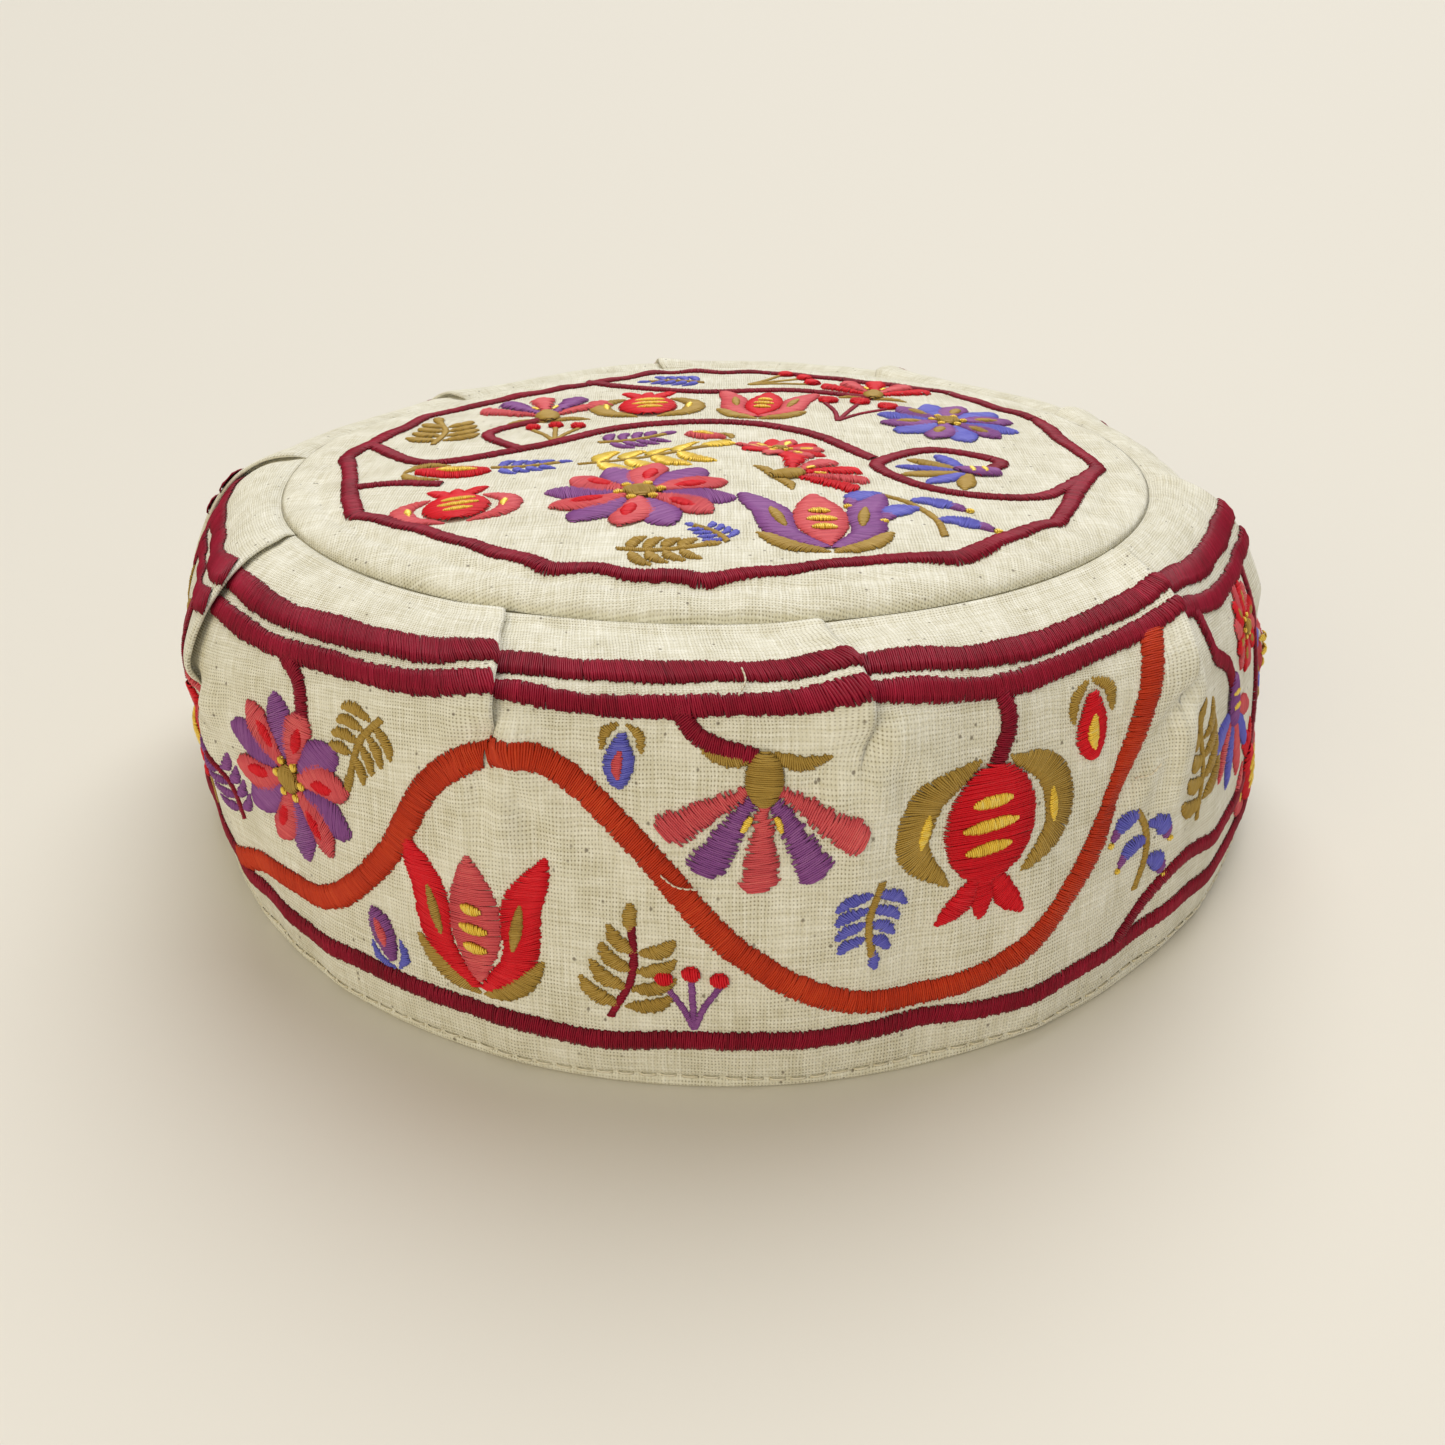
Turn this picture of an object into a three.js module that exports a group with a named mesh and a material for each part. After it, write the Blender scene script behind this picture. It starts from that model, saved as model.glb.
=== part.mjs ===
import * as THREE from 'three';

// A round canvas cap with a flat top: a pleated band that folds over at a ridge,
// and a crown that is sewn to it. Millimetres, +Z up, the wearer's front towards -Y.
// The origin is the middle of the cap's footprint, on the surface that it stands on.

// Band
const hemWidth = 179;
const hemDepth = 183;
const bandWall = 1.8;
const bandBulge = 1.2;
const ridgeLean = 4;
const ridgeDrop = 10;
const hemFlare = 5;

// Shoulder, from the ridge in to the crown seam
const shoulderAtSides = 16.5;
const shoulderAtEnds = 20;
const shoulderPuff = 1.2;

// Crown and its seam
const seamHeightFront = 60;
const seamHeightBack = 47;
const crownLeft = 1.8;
const crownBack = 1.7;
const crownWall = 1.6;
const crownRoll = 3;
const crownRise = 2.4;
const seamLap = 3.2;
const seamClearance = 0.3;

// Knife pleats
const pleatStep = 2;
const backingShare = 0.4;
const panelTautness = 0.8;

// How late the wall starts to lean towards the ridge: 1 is a straight lean from the hem up
const leanOnset = 1.6;

// One row for each pleat, by its angle at the ridge, from the front towards +X.
// swing: how many degrees further on its crease meets the crown seam
// drop: how far the ridge lies under the crown seam, as a share of ridgeDrop
// lean: how far the ridge stands out past the hem, as a share of ridgeLean
// seam: the crown's reach there, as a share of its oval
// flare: how far the hem spreads, as a share of hemFlare
const pleats = [
  { angle: -92, swing: -2, drop: 1.85, lean: 1.25, seam: 0.98, flare: 0.1 },
  { angle: -55, swing: -6, drop: 1.0, lean: 1.0, seam: 1.0, flare: 0.0 },
  { angle: -19.5, swing: -3.5, drop: 0.15, lean: -0.2, seam: 1.0, flare: 0.0 },
  { angle: 10.5, swing: 0, drop: 0.05, lean: -0.2, seam: 1.0, flare: 0.0 },
  { angle: 44, swing: 11, drop: 0.6, lean: 0.1, seam: 1.0, flare: 0.1 },
  { angle: 80, swing: 4, drop: 1.55, lean: 0.1, seam: 1.0, flare: 0.5 },
  { angle: 117, swing: 0, drop: 1.75, lean: -0.1, seam: 1.0, flare: 0.5 },
  { angle: 152, swing: 0, drop: 1.6, lean: 0.2, seam: 0.98, flare: 0.2 },
  { angle: 189, swing: 0, drop: 1.6, lean: 0.1, seam: 0.98, flare: 0.0 },
  { angle: 228, swing: 0, drop: 2.0, lean: -0.8, seam: 0.91, flare: 0.0 },
];

// Sections across one panel: where along it, and how far the cloth is lifted by its folds,
// as a share of pleatStep. It starts tucked under its neighbour and ends in its own fold.
const panelSections = [
  { along: 0.012, lift: -0.4 },
  { along: 0.04, lift: -0.36 },
  { along: 0.1, lift: -0.16 },
  { along: 0.2, lift: -0.02 },
  { along: 0.34, lift: 0.02 },
  { along: 0.5, lift: 0.06 },
  { along: 0.66, lift: 0.15 },
  { along: 0.8, lift: 0.34 },
  { along: 0.9, lift: 0.6 },
  { along: 0.955, lift: 0.86 },
  { along: 0.985, lift: 1.0 },
  { along: 1.0, lift: 0.9 },
];

// Sections up the wall: height as a share of the ridge's, and how much of the pleat shows there
const wallSections = [
  { height: 0, bulge: 0, pleat: 0 },
  { height: 0.06, bulge: 0.4, pleat: 0 },
  { height: 0.2, bulge: 0.85, pleat: 0.02 },
  { height: 0.38, bulge: 1, pleat: 0.1 },
  { height: 0.55, bulge: 0.85, pleat: 0.28 },
  { height: 0.7, bulge: 0.55, pleat: 0.52 },
  { height: 0.83, bulge: 0.25, pleat: 0.8 },
  { height: 0.93, bulge: 0.05, pleat: 1 },
];
const ridgeSections = [0.25, 0.5, 0.75];

// Sections over the shoulder: inward and upward as shares of the way to the crown seam
const shoulderSections = [
  { inward: 0.2, upward: 0.42, pleat: 1 },
  { inward: 0.4, upward: 0.72, pleat: 0.95 },
  { inward: 0.62, upward: 0.9, pleat: 0.8 },
  { inward: 0.84, upward: 0.98, pleat: 0.5 },
  { inward: 1, upward: 1, pleat: 0 },
];

// Sections over the crown: reach as a share of its oval, and height as a share of crownRoll
const crownSections = [
  { reach: 0.998, roll: 0.4 },
  { reach: 0.988, roll: 0.76 },
  { reach: 0.968, roll: 0.95 },
  { reach: 0.935, roll: 1 },
  { reach: 0.86, roll: 1 },
  { reach: 0.7, roll: 1 },
  { reach: 0.48, roll: 1 },
  { reach: 0.24, roll: 1 },
];
const liningReaches = [0.24, 0.55, 0.8, 0.93];

const crownHalfWidth = hemWidth / 2 - shoulderAtSides;
const crownHalfDepth = hemDepth / 2 - shoulderAtEnds;

function radians(degrees) {
  return (degrees * Math.PI) / 180;
}

function ovalRadius(halfWidth, halfDepth, angle) {
  return 1 / Math.hypot(Math.sin(angle) / halfWidth, Math.cos(angle) / halfDepth);
}

// A direction on the floor, turned from the front towards +X
function outward(angle) {
  return new THREE.Vector3(Math.sin(angle), -Math.cos(angle), 0);
}

function alongHoop(angle) {
  return new THREE.Vector3(Math.cos(angle), Math.sin(angle), 0);
}

function seamHeight(y) {
  const middle = (seamHeightFront + seamHeightBack) / 2;
  const slope = (seamHeightFront - seamHeightBack) / (2 * crownHalfDepth);
  return middle - slope * (y - crownBack);
}

// A column is one line from the hem to the seam; it knows its panel and its place in it
function makeColumns() {
  const columns = [];
  pleats.forEach((pleat, index) => {
    const next = pleats[(index + 1) % pleats.length];
    const turn = next.angle > pleat.angle ? 0 : 360;
    const span = next.angle + turn - pleat.angle;
    for (const section of panelSections) {
      const angle = pleat.angle + span * section.along;
      const swing = THREE.MathUtils.lerp(pleat.swing, next.swing, section.along);
      columns.push({
        angle: radians(angle),
        seamAngle: radians(angle + swing),
        pleat,
        next,
        along: section.along,
        lift: section.lift,
      });
    }
  });
  return columns;
}

// A value of the pleat table, eased from one pleat to the next
function eased(column, name) {
  const share = (1 - Math.cos(Math.PI * column.along)) / 2;
  return THREE.MathUtils.lerp(column.pleat[name], column.next[name], share);
}

function crownPoint(column, reach) {
  const oval = ovalRadius(crownHalfWidth, crownHalfDepth, column.seamAngle);
  const point = outward(column.seamAngle).multiplyScalar(oval * eased(column, 'seam') * reach);
  point.x -= crownLeft;
  point.y += crownBack;
  point.z = seamHeight(point.y);
  return point;
}

function hemRadius(column) {
  const oval = ovalRadius(hemWidth / 2, hemDepth / 2, column.angle);
  return oval + hemFlare * eased(column, 'flare');
}

function ridgeCorner(pleat) {
  const angle = radians(pleat.angle);
  const radius = ovalRadius(hemWidth / 2, hemDepth / 2, angle) + ridgeLean * pleat.lean;
  const corner = outward(angle).multiplyScalar(radius);
  const crownRadius = ovalRadius(crownHalfWidth, crownHalfDepth, angle);
  corner.z = seamHeight(crownBack - crownRadius * Math.cos(angle)) - ridgeDrop * pleat.drop;
  return corner;
}

// The ridge runs nearly straight from one pleat to the next
function ridgePoint(column) {
  const from = ridgeCorner(column.pleat);
  const to = ridgeCorner(column.next);
  const chord = from.clone().lerp(to, column.along);
  const straight = Math.hypot(chord.x, chord.y);
  const round = THREE.MathUtils.lerp(Math.hypot(from.x, from.y), Math.hypot(to.x, to.y), column.along);
  const radius = THREE.MathUtils.lerp(round, straight, panelTautness);
  const point = outward(column.angle).multiplyScalar(radius);
  point.z = chord.z;
  return point;
}

function wallPoint(column, ridge, section) {
  const hem = hemRadius(column);
  const ridgeRadius = Math.hypot(ridge.x, ridge.y);
  const lean = (ridgeRadius - hem) * section.height ** leanOnset;
  const point = outward(column.angle).multiplyScalar(hem + lean + bandBulge * section.bulge);
  point.z = ridge.z * section.height;
  return point;
}

function shoulderPoint(column, ridge, section) {
  const seam = crownPoint(column, 1);
  const point = ridge.clone().lerp(seam, section.inward);
  const puff = 4 * section.inward * (1 - section.inward) * shoulderPuff;
  point.z = THREE.MathUtils.lerp(ridge.z, seam.z - seamClearance / 2, section.upward) + puff;
  return point;
}

// The middle surface line of the band's outside, before its folds are lifted
function bandLine(column) {
  const ridge = ridgePoint(column);
  const wall = wallSections.map((section) => ({
    point: wallPoint(column, ridge, section),
    pleat: section.pleat,
  }));
  const shoulder = shoulderSections.map((section) => ({
    point: shoulderPoint(column, ridge, section),
    pleat: section.pleat,
  }));
  const bend = new THREE.QuadraticBezierCurve3(wall[wall.length - 1].point, ridge, shoulder[0].point);
  const fold = ridgeSections.map((share) => ({ point: bend.getPoint(share), pleat: 1 }));
  const lapEnd = crownPoint(column, 1 - (2 * seamLap) / (crownHalfWidth + crownHalfDepth));
  lapEnd.z -= seamClearance / 2;
  return [...wall, ...fold, ...shoulder, { point: lapEnd, pleat: 0 }];
}

function bandRings(columns) {
  const outer = [];
  const inner = [];
  for (const column of columns) {
    const line = bandLine(column);
    const hoop = alongHoop(column.angle);
    line.forEach((station, row) => {
      const before = line[Math.max(row - 1, 0)].point;
      const after = line[Math.min(row + 1, line.length - 1)].point;
      const normal = hoop.clone().cross(after.clone().sub(before));
      if (row === 0) normal.z = 0;
      if (row >= line.length - 2) normal.set(0, 0, 1);
      normal.normalize();
      const lifted = pleatStep * column.lift * station.pleat;
      outer[row] ??= [];
      inner[row] ??= [];
      outer[row].push(station.point.clone().addScaledVector(normal, lifted));
      inner[row].push(station.point.clone().addScaledVector(normal, lifted * backingShare - bandWall));
    });
  }
  return [...outer, ...inner.reverse()];
}

function crownTop(column, section) {
  const point = crownPoint(column, section.reach);
  const dome = crownRise * (1 - section.reach ** 2);
  point.z += seamClearance / 2 + crownRoll * section.roll + dome;
  return point;
}

function crownRings(columns) {
  const rimReach = 1 - (2 * seamLap) / (crownHalfWidth + crownHalfDepth);
  const rings = [];
  for (const reach of liningReaches) {
    rings.push(columns.map((column) => {
      const point = crownTop(column, { reach, roll: 1 });
      point.z -= crownWall;
      return point;
    }));
  }
  for (const reach of [rimReach, 1]) {
    rings.push(columns.map((column) => {
      const point = crownPoint(column, reach);
      point.z += seamClearance / 2;
      return point;
    }));
  }
  for (const section of crownSections) {
    rings.push(columns.map((column) => crownTop(column, section)));
  }
  return rings;
}

// Quads between rings; a closed set joins its last ring to its first, an open one ends in two poles
function skin(rings, poles) {
  const around = rings[0].length;
  const points = rings.flat();
  const indices = [];
  const bands = poles ? rings.length - 1 : rings.length;
  for (let ring = 0; ring < bands; ring += 1) {
    const low = ring * around;
    const high = ((ring + 1) % rings.length) * around;
    for (let step = 0; step < around; step += 1) {
      const next = (step + 1) % around;
      indices.push(low + step, low + next, high + step);
      indices.push(low + next, high + next, high + step);
    }
  }
  if (poles) {
    const first = points.push(poles[0]) - 1;
    const last = points.push(poles[1]) - 1;
    const top = (rings.length - 1) * around;
    for (let step = 0; step < around; step += 1) {
      const next = (step + 1) % around;
      indices.push(first, next, step);
      indices.push(last, top + step, top + next);
    }
  }
  const geometry = new THREE.BufferGeometry().setFromPoints(points);
  geometry.setIndex(indices);
  geometry.computeVertexNormals();
  return geometry;
}

function canvas(color) {
  return new THREE.MeshStandardMaterial({ color, roughness: 0.9, metalness: 0 });
}

function makeBand(columns) {
  const mesh = new THREE.Mesh(skin(bandRings(columns)), canvas(0xd9cfb8));
  mesh.name = 'band';
  return mesh;
}

function makeCrown(columns) {
  const crownAxis = columns[0];
  const top = crownTop(crownAxis, { reach: 0, roll: 1 });
  const under = top.clone();
  under.z -= crownWall;
  const mesh = new THREE.Mesh(skin(crownRings(columns), [under, top]), canvas(0xddd4be));
  mesh.name = 'crown';
  return mesh;
}

const cap = new THREE.Group();
const columns = makeColumns();
cap.add(makeBand(columns), makeCrown(columns));

const middle = new THREE.Box3().setFromObject(cap).getCenter(new THREE.Vector3());
cap.position.set(-middle.x, -middle.y, 0);

export default cap;
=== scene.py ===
import math

import bpy
import numpy as np
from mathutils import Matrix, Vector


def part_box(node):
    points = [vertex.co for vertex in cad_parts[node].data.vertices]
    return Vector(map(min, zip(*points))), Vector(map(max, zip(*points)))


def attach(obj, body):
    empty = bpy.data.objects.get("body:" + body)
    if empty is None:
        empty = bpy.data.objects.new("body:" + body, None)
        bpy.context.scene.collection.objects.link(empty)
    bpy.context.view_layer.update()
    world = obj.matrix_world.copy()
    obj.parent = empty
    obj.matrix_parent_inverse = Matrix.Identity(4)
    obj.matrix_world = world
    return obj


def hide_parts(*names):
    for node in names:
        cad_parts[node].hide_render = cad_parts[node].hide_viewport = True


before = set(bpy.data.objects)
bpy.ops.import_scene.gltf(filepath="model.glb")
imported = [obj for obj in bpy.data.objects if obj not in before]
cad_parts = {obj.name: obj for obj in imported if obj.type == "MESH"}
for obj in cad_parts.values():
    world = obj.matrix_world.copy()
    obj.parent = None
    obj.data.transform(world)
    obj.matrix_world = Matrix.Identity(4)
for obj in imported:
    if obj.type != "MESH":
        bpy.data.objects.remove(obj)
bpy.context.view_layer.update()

# The cloth and its stitches are worked out in millimetres, and makeMesh turns them to metres
mm = 0.001
rng = np.random.default_rng(7)
anyPhase = (0, 6.28)  # a wave starts anywhere in its turn
print("frame loaded")


# Camera, at the photo's angle

cameraValues = {
    "place": (0.41, -255.15, 158.1),
    "tiltFromDown": 62.2,
    "lens": 39.81,
    "shiftUp": -0.0685,
}


def makeCamera():
    data = bpy.data.cameras.new("camera")
    data.lens = cameraValues["lens"]
    data.sensor_width = 36
    data.shift_y = cameraValues["shiftUp"]
    data.clip_start = 0.01
    camera = bpy.data.objects.new("camera", data)
    bpy.context.collection.objects.link(camera)
    camera.location = [value * mm for value in cameraValues["place"]]
    camera.rotation_euler = (math.radians(cameraValues["tiltFromDown"]), 0, 0)
    bpy.context.scene.camera = camera


makeCamera()
print("camera placed")


# Small helpers


def smooth(low, high, value):
    share = np.clip((value - low) / (high - low), 0, 1)
    return share * share * (3 - 2 * share)


def mixed(first, second, share):
    return first + (second - first) * share


def unit(vectors):
    return vectors / np.maximum(np.linalg.norm(vectors, axis=-1, keepdims=True), 1e-9)


def stepLengths(points):
    # How far it is from each row of points to the next
    return np.linalg.norm(np.diff(points, axis=0), axis=-1)


def makeMesh(name, points, faces, material):
    mesh = bpy.data.meshes.new(name)
    mesh.from_pydata((np.asarray(points) * mm).tolist(), [], faces)
    mesh.polygons.foreach_set("use_smooth", [True] * len(mesh.polygons))
    mesh.materials.append(material)
    piece = bpy.data.objects.new(name, mesh)
    bpy.context.collection.objects.link(piece)
    return piece


# Materials

threadColours = {
    "maroon": ("#45020c", "#900a2a", "#be2146"),
    "scarlet": ("#a80412", "#e01226", "#f23c48"),
    "coral": ("#b53c48", "#dc5a62", "#f08480"),
    "orange": ("#9a230c", "#c93a18", "#e4582c"),
    "violet": ("#643470", "#90529a", "#b078b4"),
    "periwinkle": ("#4a4aa6", "#6c6cd0", "#9090e4"),
    "ochre": ("#86682a", "#b49344", "#cfb26a"),
    "gilt": ("#b88c20", "#fcd84e", "#fff8b0"),
    "cream": ("#cfc4a4", "#e6dec6", "#f4efe0"),
}


def colour(hexValue):
    # From an sRGB hex value to the linear colour that a socket takes
    parts = [int(hexValue[start:start + 2], 16) / 255 for start in (1, 3, 5)]
    linear = [part / 12.92 if part <= 0.04045 else ((part + 0.055) / 1.055) ** 2.4 for part in parts]
    return (*linear, 1)


def addNode(tree, kind, inputs=None, **settings):
    # inputs: a name or number, to a node (its first output), an output socket or a plain value
    node = tree.nodes.new("ShaderNode" + kind)
    for name, value in settings.items():
        setattr(node, name, value)
    for name, value in (inputs or {}).items():
        if isinstance(value, bpy.types.Node):
            value = value.outputs[0]
        if isinstance(value, bpy.types.NodeSocket):
            tree.links.new(value, node.inputs[name])
        else:
            node.inputs[name].default_value = value
    return node


def newMaterial(name):
    material = bpy.data.materials.new(name)
    material.use_nodes = True
    return material, material.node_tree, material.node_tree.nodes["Principled BSDF"]


# Spacings and depths are in millimetres, and the scales count for each millimetre of cloth

# The dark hole colour and its range are painted shade in the holes between the threads
canvasValues = {
    "yarn": "#dbd6bf", "paleYarn": "#f8f6e9", "holeShade": "#7d6f4a", "husk": "#51402c",
    "threadSpacing": 0.45, "wander": 0.5, "wanderScale": 0.35,
    "slubScale": (1.9, 0.16), "slubDetail": 3, "slubRoughness": 0.6,
    "cloudScale": 0.16, "cloudDetail": 4, "cloudShade": 0.25,
    "tone": {"From Min": 0.24, "From Max": 0.52},
    "holeShading": {"From Min": 0.12, "From Max": 0.6, "To Max": 0.8},
    "openness": {"From Min": 0.35, "From Max": 0.62, "To Min": 0.35},
    "huskSpacing": 2.1, "huskShare": 0.5, "huskStrength": 0.7,
    "huskEdge": {"From Min": 0.07, "From Max": 0.14, "To Min": 1, "To Max": 0},
    "weaveDepth": 0.12, "weaveStrength": 0.55, "slubRelief": 1.2,
    "roughness": 0.92, "sheen": 0.12, "specular": 0.25,
}


def makeCanvas():
    # Unbleached cotton and linen canvas, plain woven and only washed: matt, with uneven yarn,
    # painted shade in the holes between the threads and a few bits of husk. Its real thread spacing of
    # 0.4 mm is drawn at 0.45 mm, because it would hardly show in the render.
    v = canvasValues
    material, tree, shader = newMaterial("unbleached canvas")
    flat = addNode(tree, "UVMap", uv_map="clothMm")
    wobble = addNode(tree, "TexNoise", {"Vector": flat, "Scale": v["wanderScale"], "Detail": 2})
    drift = addNode(tree, "VectorMath", {0: wobble.outputs["Color"], 1: (0.5, 0.5, 0.5)},
                    operation="SUBTRACT")
    bent = addNode(tree, "VectorMath", {0: drift, 1: (v["wander"], v["wander"], 0), 2: flat},
                   operation="MULTIPLY_ADD")
    place = addNode(tree, "SeparateXYZ", {0: bent}).outputs

    # Threads cross over and under by turns: each is round, and a hole is left between four of them
    cells, backs, gaps = [], [], []
    for axis in range(2):
        count = addNode(tree, "Math", {0: place[axis], 1: v["threadSpacing"]}, operation="DIVIDE")
        cells.append(addNode(tree, "Math", {0: count}, operation="FLOOR"))
        turn = addNode(tree, "Math", {0: count, 1: math.pi}, operation="MULTIPLY")
        wave = addNode(tree, "Math", {0: turn}, operation="SINE")
        backs.append(addNode(tree, "Math", {0: wave}, operation="ABSOLUTE"))
        gaps.append(addNode(tree, "Math", {0: 1, 1: backs[-1]}, operation="SUBTRACT"))
    cell = addNode(tree, "Math", {0: cells[0], 1: cells[1]}, operation="ADD")
    over = addNode(tree, "Math", {0: cell, 1: 1}, operation="PINGPONG")
    under = addNode(tree, "Math", {0: 1, 1: over}, operation="SUBTRACT")
    warp = addNode(tree, "Math", {0: backs[0], 1: over}, operation="MULTIPLY")
    weft = addNode(tree, "Math", {0: backs[1], 1: under}, operation="MULTIPLY")
    weave = addNode(tree, "Math", {0: warp, 1: weft}, operation="ADD")
    hole = addNode(tree, "Math", {0: gaps[0], 1: gaps[1]}, operation="MULTIPLY")

    # Yarn runs thick and thin along each thread, in both directions, and the cloth is closer in places
    slubs = []
    short, long = v["slubScale"]
    for stretch in ((short, long, 1), (long, short, 1)):
        drawn = addNode(tree, "Mapping", {"Vector": bent, "Scale": stretch})
        slubs.append(addNode(tree, "TexNoise", {"Vector": drawn, "Scale": 1, "Detail": v["slubDetail"],
                                                "Roughness": v["slubRoughness"]}))
    both = addNode(tree, "Math", {0: slubs[0], 1: slubs[1]}, operation="ADD")
    slub = addNode(tree, "Math", {0: both, 1: 0.5}, operation="MULTIPLY")
    cloud = addNode(tree, "TexNoise", {"Vector": flat, "Scale": v["cloudScale"],
                                       "Detail": v["cloudDetail"]})
    openness = addNode(tree, "MapRange", {"Value": cloud, **v["openness"]})
    cloudy = addNode(tree, "Math", {0: cloud, 1: v["cloudShade"]}, operation="MULTIPLY")
    clouded = addNode(tree, "Math", {0: slub, 1: cloudy}, operation="SUBTRACT")
    tone = addNode(tree, "MapRange", {"Value": clouded, **v["tone"]})
    yarn = addNode(tree, "Mix", {0: tone, 6: colour(v["yarn"]), 7: colour(v["paleYarn"])},
                   data_type="RGBA")
    # Painted shade: the holes between the threads are darkened, less where the cloth is closer
    holeShadeAmount = addNode(tree, "MapRange", {"Value": hole, **v["holeShading"]})
    dark = addNode(tree, "Math", {0: holeShadeAmount, 1: openness}, operation="MULTIPLY")
    shadedHoles = addNode(tree, "Mix", {0: dark, 6: yarn.outputs[2], 7: colour(v["holeShade"])}, data_type="RGBA")

    # Bits of husk: in one cell out of a few, a small dark speck
    speck = addNode(tree, "TexVoronoi", {"Vector": bent, "Scale": 1 / v["huskSpacing"]})
    near = addNode(tree, "MapRange", {"Value": speck.outputs["Distance"], **v["huskEdge"]})
    pick = addNode(tree, "SeparateColor", {0: speck.outputs["Color"]})
    picked = addNode(tree, "Math", {0: pick, 1: v["huskShare"]}, operation="GREATER_THAN")
    chosen = addNode(tree, "Math", {0: near, 1: picked}, operation="MULTIPLY")
    faint = addNode(tree, "Math", {0: chosen, 1: v["huskStrength"]}, operation="MULTIPLY")
    husks = addNode(tree, "Mix", {0: faint, 6: shadedHoles.outputs[2], 7: colour(v["husk"])}, data_type="RGBA")
    tree.links.new(husks.outputs[2], shader.inputs["Base Color"])

    uneven = addNode(tree, "Math", {0: slub, 1: v["slubRelief"]}, operation="MULTIPLY")
    relief = addNode(tree, "Math", {0: weave, 1: uneven}, operation="ADD")
    bump = addNode(tree, "Bump", {"Height": relief, "Strength": v["weaveStrength"],
                                  "Distance": v["weaveDepth"] * mm})
    tree.links.new(bump.outputs[0], shader.inputs["Normal"])
    shader.inputs["Roughness"].default_value = v["roughness"]
    shader.inputs["Sheen Weight"].default_value = v["sheen"]
    shader.inputs["Specular IOR Level"].default_value = v["specular"]
    return material


# The fibre's scale counts for each metre, and the ply's for each millimetre across a strand

threadValues = {
    "fibreScale": 900, "fibreShade": 0.22, "fibreDepth": 0.1, "fibreStrength": 0.4,
    "plyScale": 3.2, "plyShade": 0.42, "strandShade": 0.42, "stops": (0.05, 0.5, 0.95),
    "specular": 0.25,
}


def makeThread(name, label, roughness, metallic):
    # Mercerised embroidery cotton, laid side by side in satin stitch: each strand has its own
    # shade and a soft gloss along its back, and painted shade darkens it towards its ends, where it dives
    # into the cloth.
    v = threadValues
    material, tree, shader = newMaterial(label)
    shade, depth, side = (addNode(tree, "Attribute", attribute_name=kind).outputs["Fac"]
                          for kind in ("strandShade", "strandPaintedShade", "strandSide"))
    place = addNode(tree, "TexCoord").outputs["Object"]
    fibre = addNode(tree, "TexNoise", {"Vector": place, "Scale": v["fibreScale"], "Detail": 2})
    ply = addNode(tree, "TexNoise", {"W": side, "Scale": v["plyScale"], "Detail": 1},
                  noise_dimensions="1D")
    shares = ((ply, v["plyShade"]), (fibre, v["fibreShade"]), (shade, v["strandShade"]))
    levels = [addNode(tree, "Math", {0: item, 1: share}, operation="MULTIPLY") for item, share in shares]
    fine = addNode(tree, "Math", {0: levels[0], 1: levels[1]}, operation="ADD")
    level = addNode(tree, "Math", {0: levels[2], 1: fine}, operation="ADD")
    # Painted shade: the colour is darkened towards the strand's ends, where it dives into the cloth
    sunk = addNode(tree, "Math", {0: level, 1: depth}, operation="MULTIPLY")
    ramp = addNode(tree, "ValToRGB", {0: sunk})
    stops = ramp.color_ramp.elements
    stops.new(v["stops"][1])
    for stop, position, hexValue in zip(stops, v["stops"], threadColours[name]):
        stop.position, stop.color = position, colour(hexValue)
    tree.links.new(ramp.outputs[0], shader.inputs["Base Color"])
    bump = addNode(tree, "Bump", {"Height": fine, "Strength": v["fibreStrength"],
                                  "Distance": v["fibreDepth"] * mm})
    tree.links.new(bump.outputs[0], shader.inputs["Normal"])
    shader.inputs["Roughness"].default_value = roughness
    shader.inputs["Metallic"].default_value = metallic
    if not metallic:
        shader.inputs["Specular IOR Level"].default_value = v["specular"]
    return material


# Label, roughness and metallic of the threads that aren't embroidery cotton
threadFinishes = {"gilt": ("gilt wound thread", 0.32, 0.3), "cream": ("cream sewing cotton", 0.7, 0.0)}
cottonFinish = (0.5, 0.0)

canvas = makeCanvas()
threads = {}
for name in threadColours:
    finish = threadFinishes.get(name, (name + " embroidery cotton", *cottonFinish))
    threads[name] = makeThread(name, *finish)
print("materials made")


# The cap's shape, as it stands on its hem. The pleat rows repeat the cut and fall of the cap:
# angle: a pleat's place at the ridge, in degrees from the front towards +X
# swing: how many degrees further on its crease meets the crown seam
# drop, lean: how far the ridge lies under the seam and stands out past the hem
# seam: the crown's reach there, flare: how far the hem spreads

capShape = {
    "hemWidth": 179, "hemDepth": 183, "hemFlare": 5, "bulge": 1.2, "bulgeLow": 0.7,
    "leanOnset": 1.6,
    "ridgeLean": 4, "ridgeDrop": 10, "tautness": 0.8, "wallTop": 0.93,
    "shoulderAtSides": 16.5, "shoulderAtEnds": 20, "shoulderPuff": 1.2, "shoulderStart": 0.2,
    "shoulderRound": 2.45, "seamLip": 0.9, "lipPlace": 0.9, "lipWidth": 0.06, "lipSpread": 0.9,
    "seamFront": 60, "seamBack": 47, "crownLeft": 1.8, "crownBack": 1.7,
    "crownRoll": 3, "crownRise": 2.4, "seamLap": 3.2, "seamGap": 0.3,
    "bandWall": 1.7, "crownWall": 1.5,
}
pleatNames = ("angle", "swing", "drop", "lean", "seam", "flare")
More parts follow.
